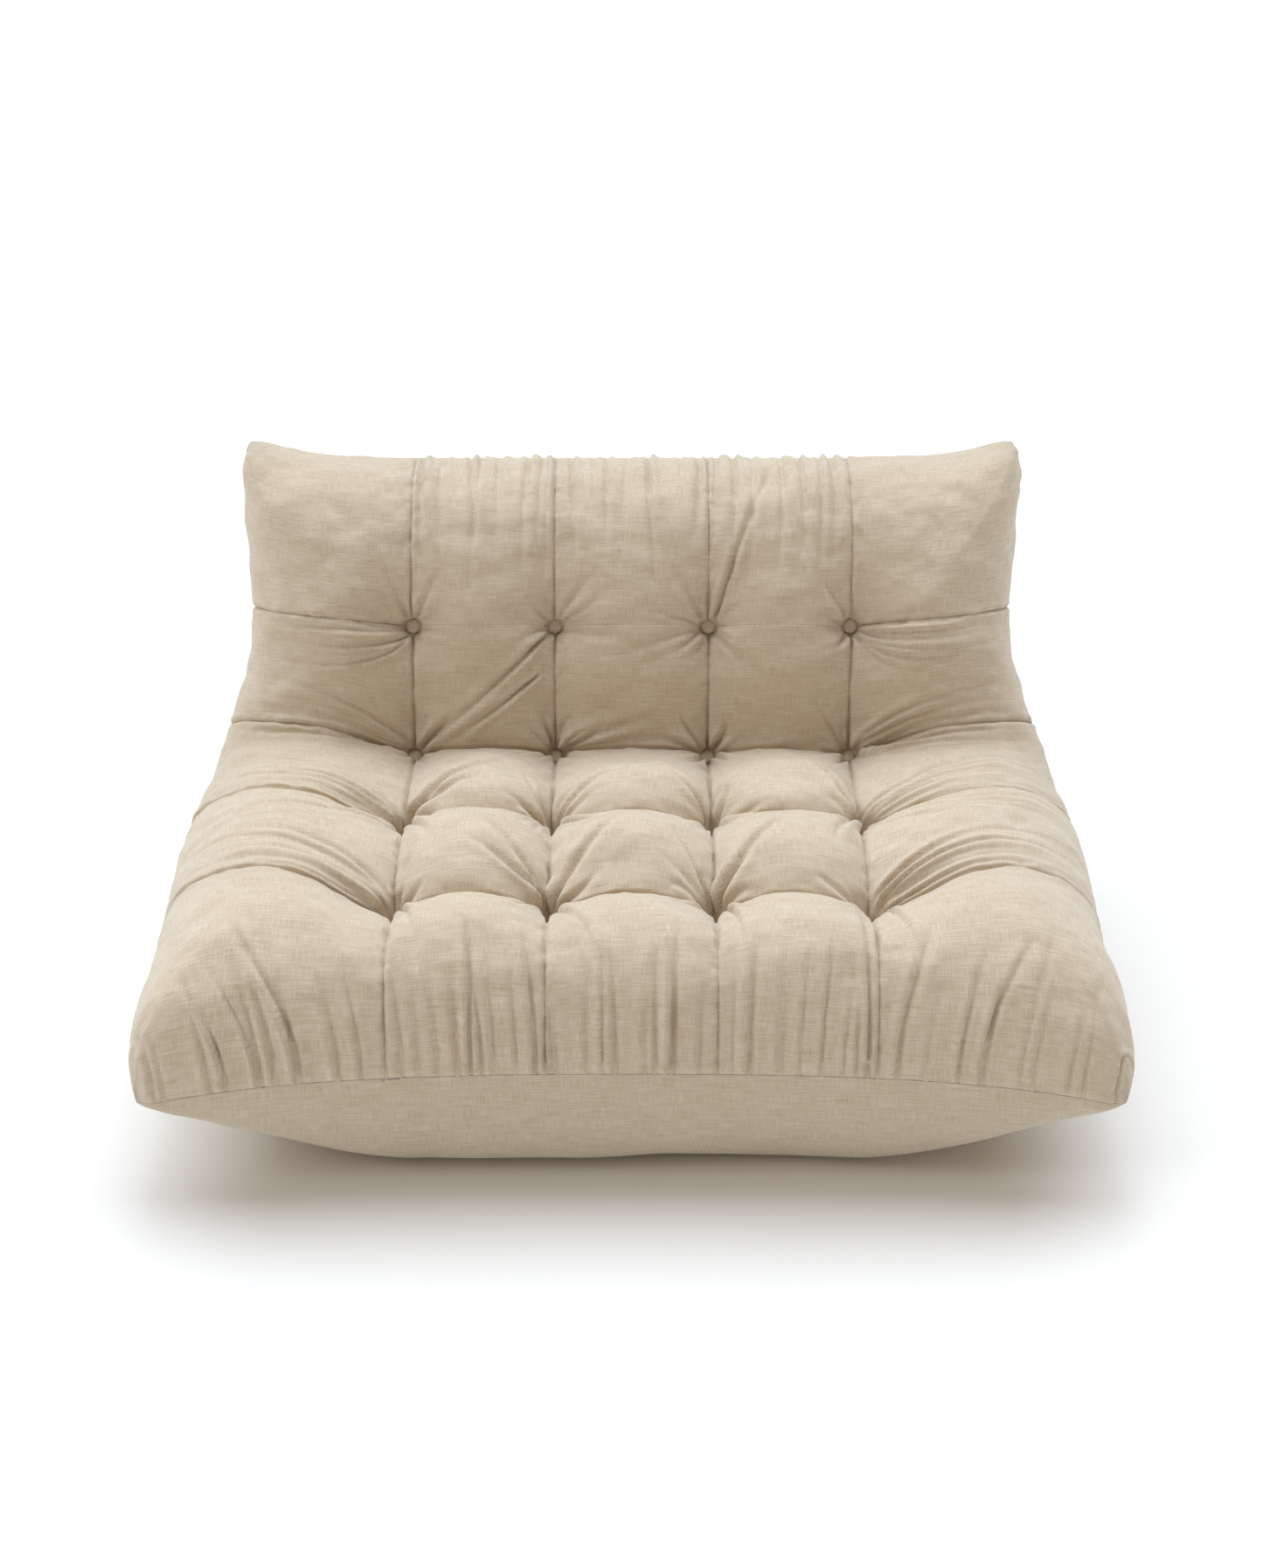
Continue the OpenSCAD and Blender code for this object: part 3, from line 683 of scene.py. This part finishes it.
def base_fabric():
    """Dark non-woven panel with raised grip dots."""
    n = Nodes("base_fabric", (0.05, 0.048, 0.045), 0.85)
    felt = n.noise(n.stretch(n.place(), (420, 420, 60)), 1.0, 4, 0.7)
    raised = n.math("LESS_THAN", n.cells(110.0, Randomness=0.0), 0.28)
    tone = n.blend((felt, 0.5), (raised, 0.3))
    return n.finish(tone, (0.022, 0.021, 0.020), (0.12, 0.115, 0.11), n.math("ADD", felt, raised), 0.0006)


def tape():
    n = Nodes("zip_tape", (0.50, 0.41, 0.30), 0.85)
    ribs = n.noise(n.stretch(n.place(), (90, 1500, 1500)), 1.0, 2)
    twill = n.noise(n.stretch(n.place(), (1600, 300, 300)), 1.0, 1)
    weave = n.math("ADD", ribs, twill)
    return n.finish(n.math("MULTIPLY", weave, 0.5), (0.36, 0.29, 0.20), (0.60, 0.51, 0.39), weave, 0.0003)


def metal(name, colour, roughness):
    """Plated metal with faint handling marks."""
    n = Nodes(name, colour, roughness, Metallic=1.0)
    scuff = n.noise(n.stretch(n.place(), (300, 2200, 2200)), 1.0, 4, 0.7)
    worn = n.add("MapRange", None, Value=scuff, To_Min=roughness * 0.7, To_Max=roughness * 1.5)
    n.tree.links.new(worn.outputs[0], n.shader.inputs["Roughness"])
    dull = tuple(0.72 * x for x in colour)
    return n.finish(n.noise(n.place(), 260.0, 3), dull, colour, scuff, 0.00004)


def plastic(name, colour, roughness):
    n = Nodes(name, colour, roughness)
    dull = tuple(0.8 * x for x in colour)
    return n.finish(n.noise(n.place(), 60.0, 3), dull, colour, n.noise(n.place(), 1800.0, 2), 0.0001)


def twisted_twine():
    n = Nodes("twine_waxed", (0.80, 0.76, 0.66), 0.7)
    bands = {"wave_type": "BANDS", "bands_direction": "DIAGONAL"}
    lay = n.add("TexWave", bands, Vector=n.place(), Scale=420.0).outputs["Fac"]
    return n.finish(lay, (0.52, 0.48, 0.38), (0.86, 0.82, 0.72), lay, 0.0004)


def paint(node, material):
    """Gives a CAD node a material of its own."""
    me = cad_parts[node].data
    me.materials.clear()
    me.materials.append(material)


def dress(piece, node, material):
    """Gives a piece its material, and puts it on the cushion in place of a CAD node."""
    piece.data.materials.append(material)
    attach(piece, "cushion")
    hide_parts(node)


# ---- the quilted cover
CLOTH_STEP = 0.010
CREST_WINDOW = 8  # mesh lines each way over which the cut follows the crests
EXTRA_CLOTH = (0.02, 0.03)  # share of extra cloth across and along
UNEVEN = [((16, 24), 0.0035), ((42, 60), 0.0012)]  # of the fill, as bumps each way and height
SEAM_LIP = 0.0007  # bulge beside a seam
SEAM_DEEP = 0.0034  # depth of a stitched seam line
PUCKER = 0.0007  # height of the small puckers beside a seam
CRUMPLE = [((46, 64), 0.0009), ((90, 120), 0.00035)]  # of the cloth
RING_DEEP = 0.004  # depth of the dent round a button
PAD_T = 0.020  # from the cloth to its backing
COARSE = 6  # the backing's mesh lines are this many cloth lines apart
EDGE_ROOM = 0.05  # the backing starts this far (in c or v) inside the pillow's edge


def draped_face():
    """The quilted face: a given start shape, then cloth under pressure, held by its seams and buttons."""
    c_lines, c_seams = even_lines(face_point, True, CLOTH_STEP)
    v_lines, v_seams = even_lines(face_point, False, CLOTH_STEP)
    c, v = np.meshgrid(c_lines, v_lines, indexing="ij")
    start = face_point(c, v)
    rng = np.random.default_rng(7)
    loose = np.minimum(swell(c, 1.0), swell(v, 1.0)) * fullness(c, v)
    start += normals(start) * (layered_noise(rng, c.shape, UNEVEN) * loose)[..., None]
    pins = np.zeros(c.shape)
    pins[c_seams[1:-1], :] = 0.5
    pins[:, v_seams[1:-1]] = 0.5
    pins[near_button(c, v, BUTTON_R, BUTTON_R + 0.004) > 0.5] = 1
    for edge in (pins[0], pins[-1], pins[:, 0], pins[:, -1]):
        edge[:] = 1
    rest = flat_cut(start, CREST_WINDOW, *EXTRA_CLOTH)
    face = drape(start, rest, pins)
    for _ in range(2):
        face, rest = refine(refine(face, 0), 1), refine(refine(rest, 0), 1)
        c_lines, v_lines = refine(c_lines, 0), refine(v_lines, 0)
        c_seams, v_seams = [2 * k for k in c_seams], [2 * k for k in v_seams]
    return face, rest, c_lines, v_lines, c_seams, v_seams


def finer_at_seams(face, rest, c_lines, v_lines, c_seams, v_seams):
    """Adds one mesh line close to each side of every inner seam."""
    seams = []
    grids = [face, rest]
    lines = [c_lines, v_lines]
    for axis, found in ((0, c_seams), (1, v_seams)):
        extra = [k + s for k in found[1:-1] for s in (-0.5, 0.5)]
        index = np.sort(np.concatenate([np.arange(len(lines[axis])), extra]))
        grids = [pick(g, index, axis) for g in grids]
        lines[axis] = pick(lines[axis], index, 0)
        seams.append([int(np.searchsorted(index, k)) for k in found])
    return grids[0], grids[1], lines[0], lines[1], seams[0], seams[1]


def seam_distance(points, seams, axis):
    """Distance along the surface from each grid point to the nearest inner seam line across that axis."""
    run = run_along(points, axis)
    away = [np.abs(run - np.take(run, [k], axis)) for k in seams[1:-1]]
    return np.minimum.reduce(away)


def stitched(c, v, points, c_seams, v_seams, rng):
    """Height of the stitched seam lines and of the small puckers beside them."""
    from_col, from_row = seam_distance(points, c_seams, 0), seam_distance(points, v_seams, 1)
    rows = row_seam(c, v)
    height = np.zeros(c.shape)
    for gap, share in ((from_col, 1.0), (from_row, rows)):
        lip, groove = np.exp(-((gap - 0.006) / 0.003) ** 2), np.exp(-(gap / 0.0019) ** 2)
        height += share * (SEAM_LIP * lip - SEAM_DEEP * groove)
    near = np.exp(-(from_col / 0.014) ** 2) + rows * np.exp(-(from_row / 0.014) ** 2)
    puckers = smooth_noise(rng, c.shape, (150, 170)) * PUCKER
    return height * (1 - near_button(c, v, BUTTON_R, 0.014)) + puckers * near, np.minimum(from_col, from_row)


def finished_face():
    """The draped face with its seams stitched and its folds laid in."""
    face, rest, c_lines, v_lines, c_seams, v_seams = finer_at_seams(*draped_face())
    c, v = np.meshgrid(c_lines, v_lines, indexing="ij")
    rng = np.random.default_rng(11)
    folds = PLEATS + arm_folds(rng) + seam_gathers(rng) + tuft_folds(rng)
    out = normals(face)
    height, gap = stitched(c, v, face, c_seams, v_seams, rng)
    edge = fullness(c, v)
    height *= smooth_step(edge / 0.06)
    unseamed = (v > 3.7) & (v < 4.3) & (np.abs(c - 2.5) < 1.5)
    seam_fade = np.where(unseamed, 1, smooth_step(gap / 0.006))
    edge_fade = smooth_step(edge / 0.08)
    button_fade = 1 - near_button(c, v, BUTTON_R + 0.001, 0.022)
    folded = fold_heights((c_lines, v_lines), face, out, folds) + layered_noise(rng, c.shape, CRUMPLE)
    height += folded * seam_fade * button_fade * edge_fade
    outside = near_button(c, v, BUTTON_R + 0.0005, BUTTON_R + 0.0035)
    inside = near_button(c, v, BUTTON_R - 0.004, BUTTON_R)
    height -= RING_DEEP * (outside * (1 - inside))
    face = face + out * height[..., None]
    face[..., 2] = np.maximum(face[..., 2], FLOOR_Z)
    return face, rest, c_lines, v_lines, c_seams, v_seams


PAD_NAMES = ["pad_front", "pad_seat_front", "pad_seat_rear", "pad_back_lower", "pad_back_upper"]


def coarse_lines(first, last, lines):
    """Cloth lines that a cell's backing keeps, and the same lines moved in from the pillow's edge."""
    keep = np.unique(np.linspace(first, last, max(3, round((last - first) / COARSE) + 1)).round().astype(int))
    low, high = np.searchsorted(lines, [EDGE_ROOM, COLS - EDGE_ROOM])
    return keep, np.clip(keep, low, high)


def walls(top, low, kept, flip):
    """The two walls along the first axis of a cloth grid, down to a backing that keeps some of its lines."""
    faces = []
    for k in range(len(low) - 1):
        for side in (0, -1):
            edge = [*top[kept[k]:kept[k + 1] + 1, side], low[k + 1, side], low[k, side]]
            faces.append(edge if (side == 0) == flip else edge[::-1])
    return faces


def pad_faces(m, n, ck, vk):
    """Faces of an m by n cloth grid, of its backing at the lines ck and vk, and of the walls between them."""
    p, q = len(ck), len(vk)
    top = np.arange(m * n).reshape(m, n)
    low = m * n + np.arange(p * q).reshape(p, q)
    faces = [*grid_faces(m, n), *(m * n + grid_faces(p, q, True))]
    return faces + walls(top, low, ck - ck[0], False) + walls(top.T, low.T, vk - vk[0], True)


def quilted_pad(i, j, cover, material):
    """One stuffed cell: its cloth, side walls and a coarser backing, closed."""
    face, rest, c_lines, v_lines, c_seams, v_seams = cover
    cs, vs = slice(c_seams[i], c_seams[i + 1] + 1), slice(v_seams[j], v_seams[j + 1] + 1)
    cloth = face[cs, vs]
    uv = np.stack(np.meshgrid(rest[..., 0].mean(1)[cs], rest[..., 1].mean(0)[vs], indexing="ij"), -1)
    ck, ci = coarse_lines(c_seams[i], c_seams[i + 1], c_lines)
    vk, vi = coarse_lines(v_seams[j], v_seams[j + 1], v_lines)
    c, v = np.meshgrid(c_lines[ci], v_lines[vi], indexing="ij")
    back = towards(face[np.ix_(ci, vi)], under_point(c, v), PAD_T)
    points = np.concatenate([cloth.reshape(-1, 3), back.reshape(-1, 3)])
    uvs = np.concatenate([uv.reshape(-1, 2), rest[np.ix_(ck, vk)][..., :2].reshape(-1, 2)])
    node = f"{PAD_NAMES[j]}_{i + 1}"
    pad = mesh_object(f"{node}_cloth", points, pad_faces(*cloth.shape[:2], ck, vk), uvs)
    dress(pad, node, material)
    # The walls and the backing are flat shaded, so that the cloth shades smoothly up to its seams
    polygons, cloth_points = pad.data.polygons, cloth[..., 0].size
    polygons.foreach_set("use_smooth", [max(f.vertices) < cloth_points for f in polygons])


# ---- the smooth lower cover
COVER_T = 0.0025
REAR_SEAM_V = 3.0
ZIP_V = 4.5
COVER_GAP = 0.0015  # half the gap, in v, between two sheets of the lower cover
COVER_STEP = 0.008
COVER_WAVE = 0.0022  # heights of the cover's waves, its creases and the gathers along its edge
COVER_CREASE = 0.0007
COVER_GATHER = 0.0011
V_LENGTH = 0.25  # about how long one step of v is


def sheet_lines(v0, v1):
    """Even mesh lines along the underside from v0 to v1."""
    k = crowd(np.linspace(0, COLS, 1001))
    k = k[(k > v0) & (k < v1)]
    k = np.concatenate([[v0], k, [v1]])
    c = np.linspace(0.6, 4.4, 9)
    p = under_point(*np.meshgrid(c, k, indexing="ij"))
    run = np.concatenate([[0], np.cumsum(np.linalg.norm(np.diff(p, axis=1), axis=-1).mean(0))])
    return np.interp(np.linspace(0, run[-1], round(run[-1] / COVER_STEP) + 1), run, k)


def cover_sheet(name, node, v0, v1, material, seed):
    """One closed sheet of the lower cover, with soft waves and small gathers at its edge seams."""
    c_lines, _ = even_lines(under_point, True, COVER_STEP)
    v_lines = sheet_lines(v0, v1)
    c, v = np.meshgrid(c_lines, v_lines, indexing="ij")
    outer = under_point(c, v)
    rng = np.random.default_rng(seed)
    out = -normals(outer)
    full = fullness(c, v)
    waves = smooth_noise(rng, c.shape, (9, 2 + 5 * (v1 - v0))) * COVER_WAVE
    creases = smooth_noise(rng, c.shape, (34, 3 + 10 * (v1 - v0))) * COVER_CREASE
    gathers = smooth_noise(rng, c.shape, (70, 6)) * COVER_GATHER * np.exp(-(full / 0.35) ** 2)
    lift = (waves + creases + gathers - COVER_WAVE) * smooth_step(full / 0.85)
    for s in (v0, v1):
        if 0 < s < ROWS:
            away = np.abs(v - s) * V_LENGTH
            lift += 0.0010 * np.exp(-((away - 0.007) / 0.004) ** 2) - 0.0016 * np.exp(-(away / 0.003) ** 2)
    outer = behind_zip(outer + out * lift[..., None])
    outer[..., 2] = np.maximum(outer[..., 2], FLOOR_Z)
    inner = towards(outer, face_point(c, v), COVER_T)
    m, n = c.shape
    run_c, run_v = run_along(outer, 0), run_along(outer, 1)
    uv = np.stack([run_c - run_c[m // 2], run_v], -1).reshape(-1, 2)
    points = np.concatenate([outer.reshape(-1, 3), inner.reshape(-1, 3)])
    piece = mesh_object(name, points, closed_shell(m, n, True), np.concatenate([uv, uv]))
    dress(piece, node, material)


def behind_zip(p):
    """Lays the cover flat against the back of the zip's tapes."""
    origin, down, out = zip_frame()
    y, z = (p - origin) @ down, (p - origin) @ out
    flat = smooth_step((0.045 - np.abs(y)) / 0.028) * smooth_step((0.375 - np.abs(p[..., 0])) / 0.035)
    return p - (flat * (z + 0.0003))[..., None] * out


def lower_cover():
    """The smooth cover's three sheets: the underside and the rear panel on each side of the zip."""
    smooth = linen("linen_smooth", 0.98)
    for node, v0, v1, seed in (("underside_cover", 0.0, REAR_SEAM_V - COVER_GAP, 21),
                               ("rear_cover_lower", REAR_SEAM_V + COVER_GAP, ZIP_V - COVER_GAP, 22),
                               ("rear_cover_upper", ZIP_V + COVER_GAP, float(ROWS), 23)):
        cover_sheet(f"{node}_cloth", node, v0, v1, smooth, seed)


# ---- foam and wadding
FILL_STEPS = (0.5, 4.5)  # the filling's reach across, in mesh steps of crowd()
SEAT_STEPS = (0.5, 16 / 6)
BACK_STEPS = (19 / 6, 4.5)
WADDING_TOP = 0.026
WADDING_T = 0.012
FOAM_TOP = WADDING_TOP + WADDING_T + 0.002
FOAM_CLEAR = 0.026


def filling(name, node, v_steps, foamy, material, seed):
    """A closed layer of filling: a foam core, or a sheet of wadding over it."""
    c_lines = crowd(np.linspace(*FILL_STEPS, 97))
    v_lines = crowd(np.linspace(*v_steps, round(24 * (v_steps[1] - v_steps[0])) + 1))
    c, v = np.meshgrid(c_lines, v_lines, indexing="ij")
    top, bottom = face_point(c, v), under_point(c, v)
    high = towards(top, bottom, FOAM_TOP if foamy else WADDING_TOP)
    low = towards(bottom, top, FOAM_CLEAR) if foamy else towards(top, bottom, WADDING_TOP + WADDING_T)
    rng = np.random.default_rng(seed)
    rough = 0.0005 if foamy else 0.0015
    high = high - normals(high) * (np.abs(smooth_noise(rng, c.shape, (50, 40))) * rough)[..., None]
    points = np.concatenate([high.reshape(-1, 3), low.reshape(-1, 3)])
    piece = mesh_object(name, points, closed_shell(*c.shape))
    dress(piece, node, material)


def fillings():
    """Foam cores, and the wadding over them."""
    cream, white = foam(), fibre()
    filling("seat_foam_core", "seat_foam", SEAT_STEPS, True, cream, 31)
    filling("back_foam_core", "back_foam", BACK_STEPS, True, cream, 32)
    filling("seat_wadding_layer", "seat_wadding", SEAT_STEPS, False, white, 33)
    filling("back_wadding_layer", "back_wadding", BACK_STEPS, False, white, 34)


# ---- covered buttons
BUTTON_H = 0.005
BUTTON_SIDES = 48
# Profile of a covered button: share of its radius and of its height, from the middle of the top down
BUTTON_PROFILE = [(0.25, 0.985), (0.50, 0.94), (0.70, 0.86), (0.85, 0.75), (0.94, 0.62),
                  (0.99, 0.45), (1.0, 0.28), (0.975, 0.12), (0.90, 0.03), (0.60, 0.0)]


def button_points(rng):
    """A covered button round +Z, with the cloth gathered round its rim."""
    turn = np.linspace(0, 2 * math.pi, BUTTON_SIDES, endpoint=False)
    gather = np.sin(14 * turn + rng.uniform(0, 6)) * 0.6 + np.sin(23 * turn + rng.uniform(0, 6)) * 0.4
    points = [(0, 0, BUTTON_H)]
    for r, h in BUTTON_PROFILE:
        wave = 0.00022 * gather * smooth_step((r - 0.6) / 0.4) * (1 if h > 0.05 else 0)
        radius = BUTTON_R * 0.985 * r + wave * (h < 0.7)
        points += list(zip(radius * np.cos(turn), radius * np.sin(turn), BUTTON_H * h + wave * (h >= 0.45)))
    points.append((0, 0, 0))
    return np.array(points)


def button_faces():
    n, rings = BUTTON_SIDES, len(BUTTON_PROFILE)
    faces = []
    for k in range(n):
        e = (k + 1) % n
        faces.append((0, 1 + k, 1 + e))
        for r in range(rings - 1):
            a, b = 1 + r * n, 1 + (r + 1) * n
            faces.append((a + k, b + k, b + e, a + e))
        last = 1 + (rings - 1) * n
        faces.append((last + e, last + k, 1 + rings * n))
    return faces


def covered_buttons():
    """Four buttons to a row, standing where the CAD buttons are."""
    material = linen("linen_button", 0.93)
    rng = np.random.default_rng(41)
    for row in range(1, ROWS):
        points, faces, uvs = [], [], []
        for col in range(1, COLS):
            flat = button_points(rng)
            n = face_dir(np.array(float(row)))
            y_axis, z_axis = np.array([0, n[1], -n[0]]), np.array([0, n[0], n[1]])
            seat = button_seat(col, row)
            spin = rng.uniform(-0.5, 0.5)
            faces += [tuple(len(points) + k for k in f) for f in button_faces()]
            points += list(seat + flat[:, :1] * X_AXIS + flat[:, 1:2] * y_axis + flat[:, 2:] * z_axis)
            ca, sa = math.cos(spin), math.sin(spin)
            uvs += [(x * ca - y * sa + 0.1 * col, x * sa + y * ca + 0.1 * row) for x, y, _ in flat]
        name = f"buttons_row_{row}"
        dress(mesh_object(f"{name}_covered", points, faces, uvs), name, material)


def button_seat(col, row):
    """Where the CAD model seats a button, on the face at a tuft."""
    c, v = np.array(float(col)), np.array(float(row))
    high = curve(TOP_H, v) - curve(TUFT, v) + CAD_EDGE_T
    return spine_point(c, v) + along_face(c, v, np.asarray(high))


# ---- zip
ZIP_LIFT = 0.0016
COIL_PITCH = 0.0016
COIL_GAP = 0.0008
COIL_W = 0.0026
COIL_Z = 0.0030  # middle of the coils above the zip's frame
COIL_R = 0.00095
WIRE_R = 0.00028
WIRE_SIDES = 5
LOOP_STEPS = 10


def zip_frame():
    """The zip's origin on the rear panel, its way down the panel and its way out of it."""
    v = np.array([ZIP_V - 0.04, ZIP_V, ZIP_V + 0.04])
    c = np.full_like(v, COLS / 2)
    a, at, b = spine_point(c, v) - along_face(c, v, CAD_EDGE_T + curve(UNDER_H, v) * rim(v - 4))
    turn = math.atan2(a[2] - b[2], a[1] - b[1])
    down, out = np.array([0, math.cos(turn), math.sin(turn)]), np.array([0, -math.sin(turn), math.cos(turn)])
    return np.array([0, at[1], at[2]]) + ZIP_LIFT * out, down, out


def zip_place(x, y, z):
    """Points of the zip's frame (+X along it, +Y down the panel, +Z out) in the model's frame."""
    origin, down, out = zip_frame()
    return origin + x[..., None] * X_AXIS + y[..., None] * down + z[..., None] * out


def zip_coil(name, node, side, material):
    """One side of the zip's spiral: a fine wire wound in flat loops, its ends closed."""
    low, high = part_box(node)
    long = high.x - low.x
    loops = round(long / COIL_PITCH)
    t = np.linspace(0, loops, LOOP_STEPS * loops + 1)
    turn = 2 * math.pi * t
    middle = side * (COIL_GAP + COIL_W / 2)
    x = (t / loops - 0.5) * (long - 2 * WIRE_R)
    y = middle + (COIL_W / 2 - WIRE_R) * np.cos(turn)
    z = COIL_Z + (COIL_R - WIRE_R) * np.sin(turn)
    path = zip_place(x, y, z)
    ahead = unit(np.gradient(path, axis=0))
    side_dir = unit(np.cross(ahead, np.array([1.0, 0.02, 0.03])))
    up = np.cross(side_dir, ahead)
    points = np.concatenate([path + WIRE_R * (math.cos(a) * side_dir + math.sin(a) * up)
                             for a in np.linspace(0, 2 * math.pi, WIRE_SIDES, endpoint=False)])
    count = len(path)
    faces = []
    for k in range(WIRE_SIDES):
        a, b = k * count, (k + 1) % WIRE_SIDES * count
        faces += [(a + i, a + i + 1, b + i + 1, b + i) for i in range(count - 1)]
    faces.append(tuple(k * count for k in range(WIRE_SIDES)))
    faces.append(tuple(k * count + count - 1 for k in range(WIRE_SIDES))[::-1])
    dress(mesh_object(name, points, faces), node, material)


def zip_and_hardware():
    """The zip's coils, and the looks of the CAD pieces that are shown as they are."""
    nylon = plastic("zip_coil_nylon", (0.44, 0.36, 0.26), 0.4)
    zip_coil("zip_coil_upper_spiral", "zip_coil_upper", -1, nylon)
    zip_coil("zip_coil_lower_spiral", "zip_coil_lower", 1, nylon)
    for node in ("zip_tape_upper", "zip_tape_lower"):
        paint(node, tape())
    bright = metal("zip_metal", (0.78, 0.75, 0.70), 0.28)
    for node in ("zip_slider", "zip_pull", "zip_end_stops"):
        paint(node, bright)
    paint("button_shanks", metal("shank_wire", (0.68, 0.68, 0.68), 0.35))
    paint("tufting_twine", twisted_twine())
    paint("anchor_discs", plastic("anchor_plastic", (0.22, 0.22, 0.22), 0.5))
    paint("base_panel", base_fabric())


# ---- camera, light and floor
CAMERA_LENS = 60.4  # millimetres, on a 36 mm sensor
CAMERA_TILT = 32  # degrees down
CAMERA_AWAY = 3.4
CAMERA_TARGET = Vector((0, 0.0154, 0.30))
# Direction that the light comes from, strength, angle and colour
SUNS = [((-0.38, 0.45, 1.0), 1.8, 50, (0.89, 1.0, 1.13)),
        ((0.32, 0.45, 1.0), 1.8, 50, (0.89, 1.0, 1.13)),
        ((-0.90, -0.30, 0.80), 0.5, 20, (0.95, 1.0, 1.05))]
# Backdrop: height at which each colour ends, and the colour
HORIZON = 0.06, (0.93, 0.93, 0.91, 1)
ZENITH = 0.30, (0.32, 0.272, 0.225, 1)
FLOOR_HALF = 9


def aimed(data, back):
    """A camera or light that faces away from the direction `back`."""
    ob = bpy.data.objects.new(data.name, data)
    bpy.context.scene.collection.objects.link(ob)
    ob.rotation_mode = "QUATERNION"
    ob.rotation_quaternion = Vector(back).to_track_quat("Z", "Y")
    return ob


def camera():
    data = bpy.data.cameras.new("camera")
    data.lens, data.sensor_width, data.sensor_fit = CAMERA_LENS, 36, "AUTO"
    tilt = math.radians(CAMERA_TILT)
    back = Vector((0, -math.cos(tilt), math.sin(tilt)))
    cam = aimed(data, back)
    cam.location = CAMERA_TARGET + back * CAMERA_AWAY
    bpy.context.scene.camera = cam


def sun(way, strength, angle, colour):
    """Broad soft light that comes from the direction `way`."""
    data = bpy.data.lights.new("softbox", "SUN")
    data.energy, data.angle, data.color = strength, math.radians(angle), colour
    aimed(data, way)


def studio():
    """A pale floor, a plain backdrop and broad soft light."""
    scene = bpy.context.scene
    scene.view_settings.view_transform = "Standard"
    world = bpy.data.worlds.new("studio")
    world.use_nodes = True
    tree = world.node_tree
    backdrop = tree.nodes["Background"]
    height = tree.nodes.new("ShaderNodeSeparateXYZ")
    tree.links.new(tree.nodes.new("ShaderNodeTexCoord").outputs["Generated"], height.inputs[0])
    ramp = tree.nodes.new("ShaderNodeValToRGB")
    tree.links.new(height.outputs[2], ramp.inputs[0])
    tree.links.new(ramp.outputs[0], backdrop.inputs["Color"])
    low, high = ramp.color_ramp.elements
    low.position, low.color = HORIZON
    high.position, high.color = ZENITH
    scene.world = world
    corners = [(x * FLOOR_HALF, y * FLOOR_HALF, 0) for x, y in ((-1, -1), (1, -1), (1, 1), (-1, 1))]
    floor = mesh_object("floor", np.array(corners), [(0, 1, 2, 3)])
    floor.data.materials.append(Nodes("floor_white", (0.86, 0.845, 0.81), 0.9).mat)
    for light in SUNS:
        sun(*light)


COVER = finished_face()
QUILTED = linen("linen_quilted")
for i in range(COLS):
    for j in range(ROWS):
        quilted_pad(i, j, COVER, QUILTED)
lower_cover()
fillings()
covered_buttons()
zip_and_hardware()
camera()
studio()
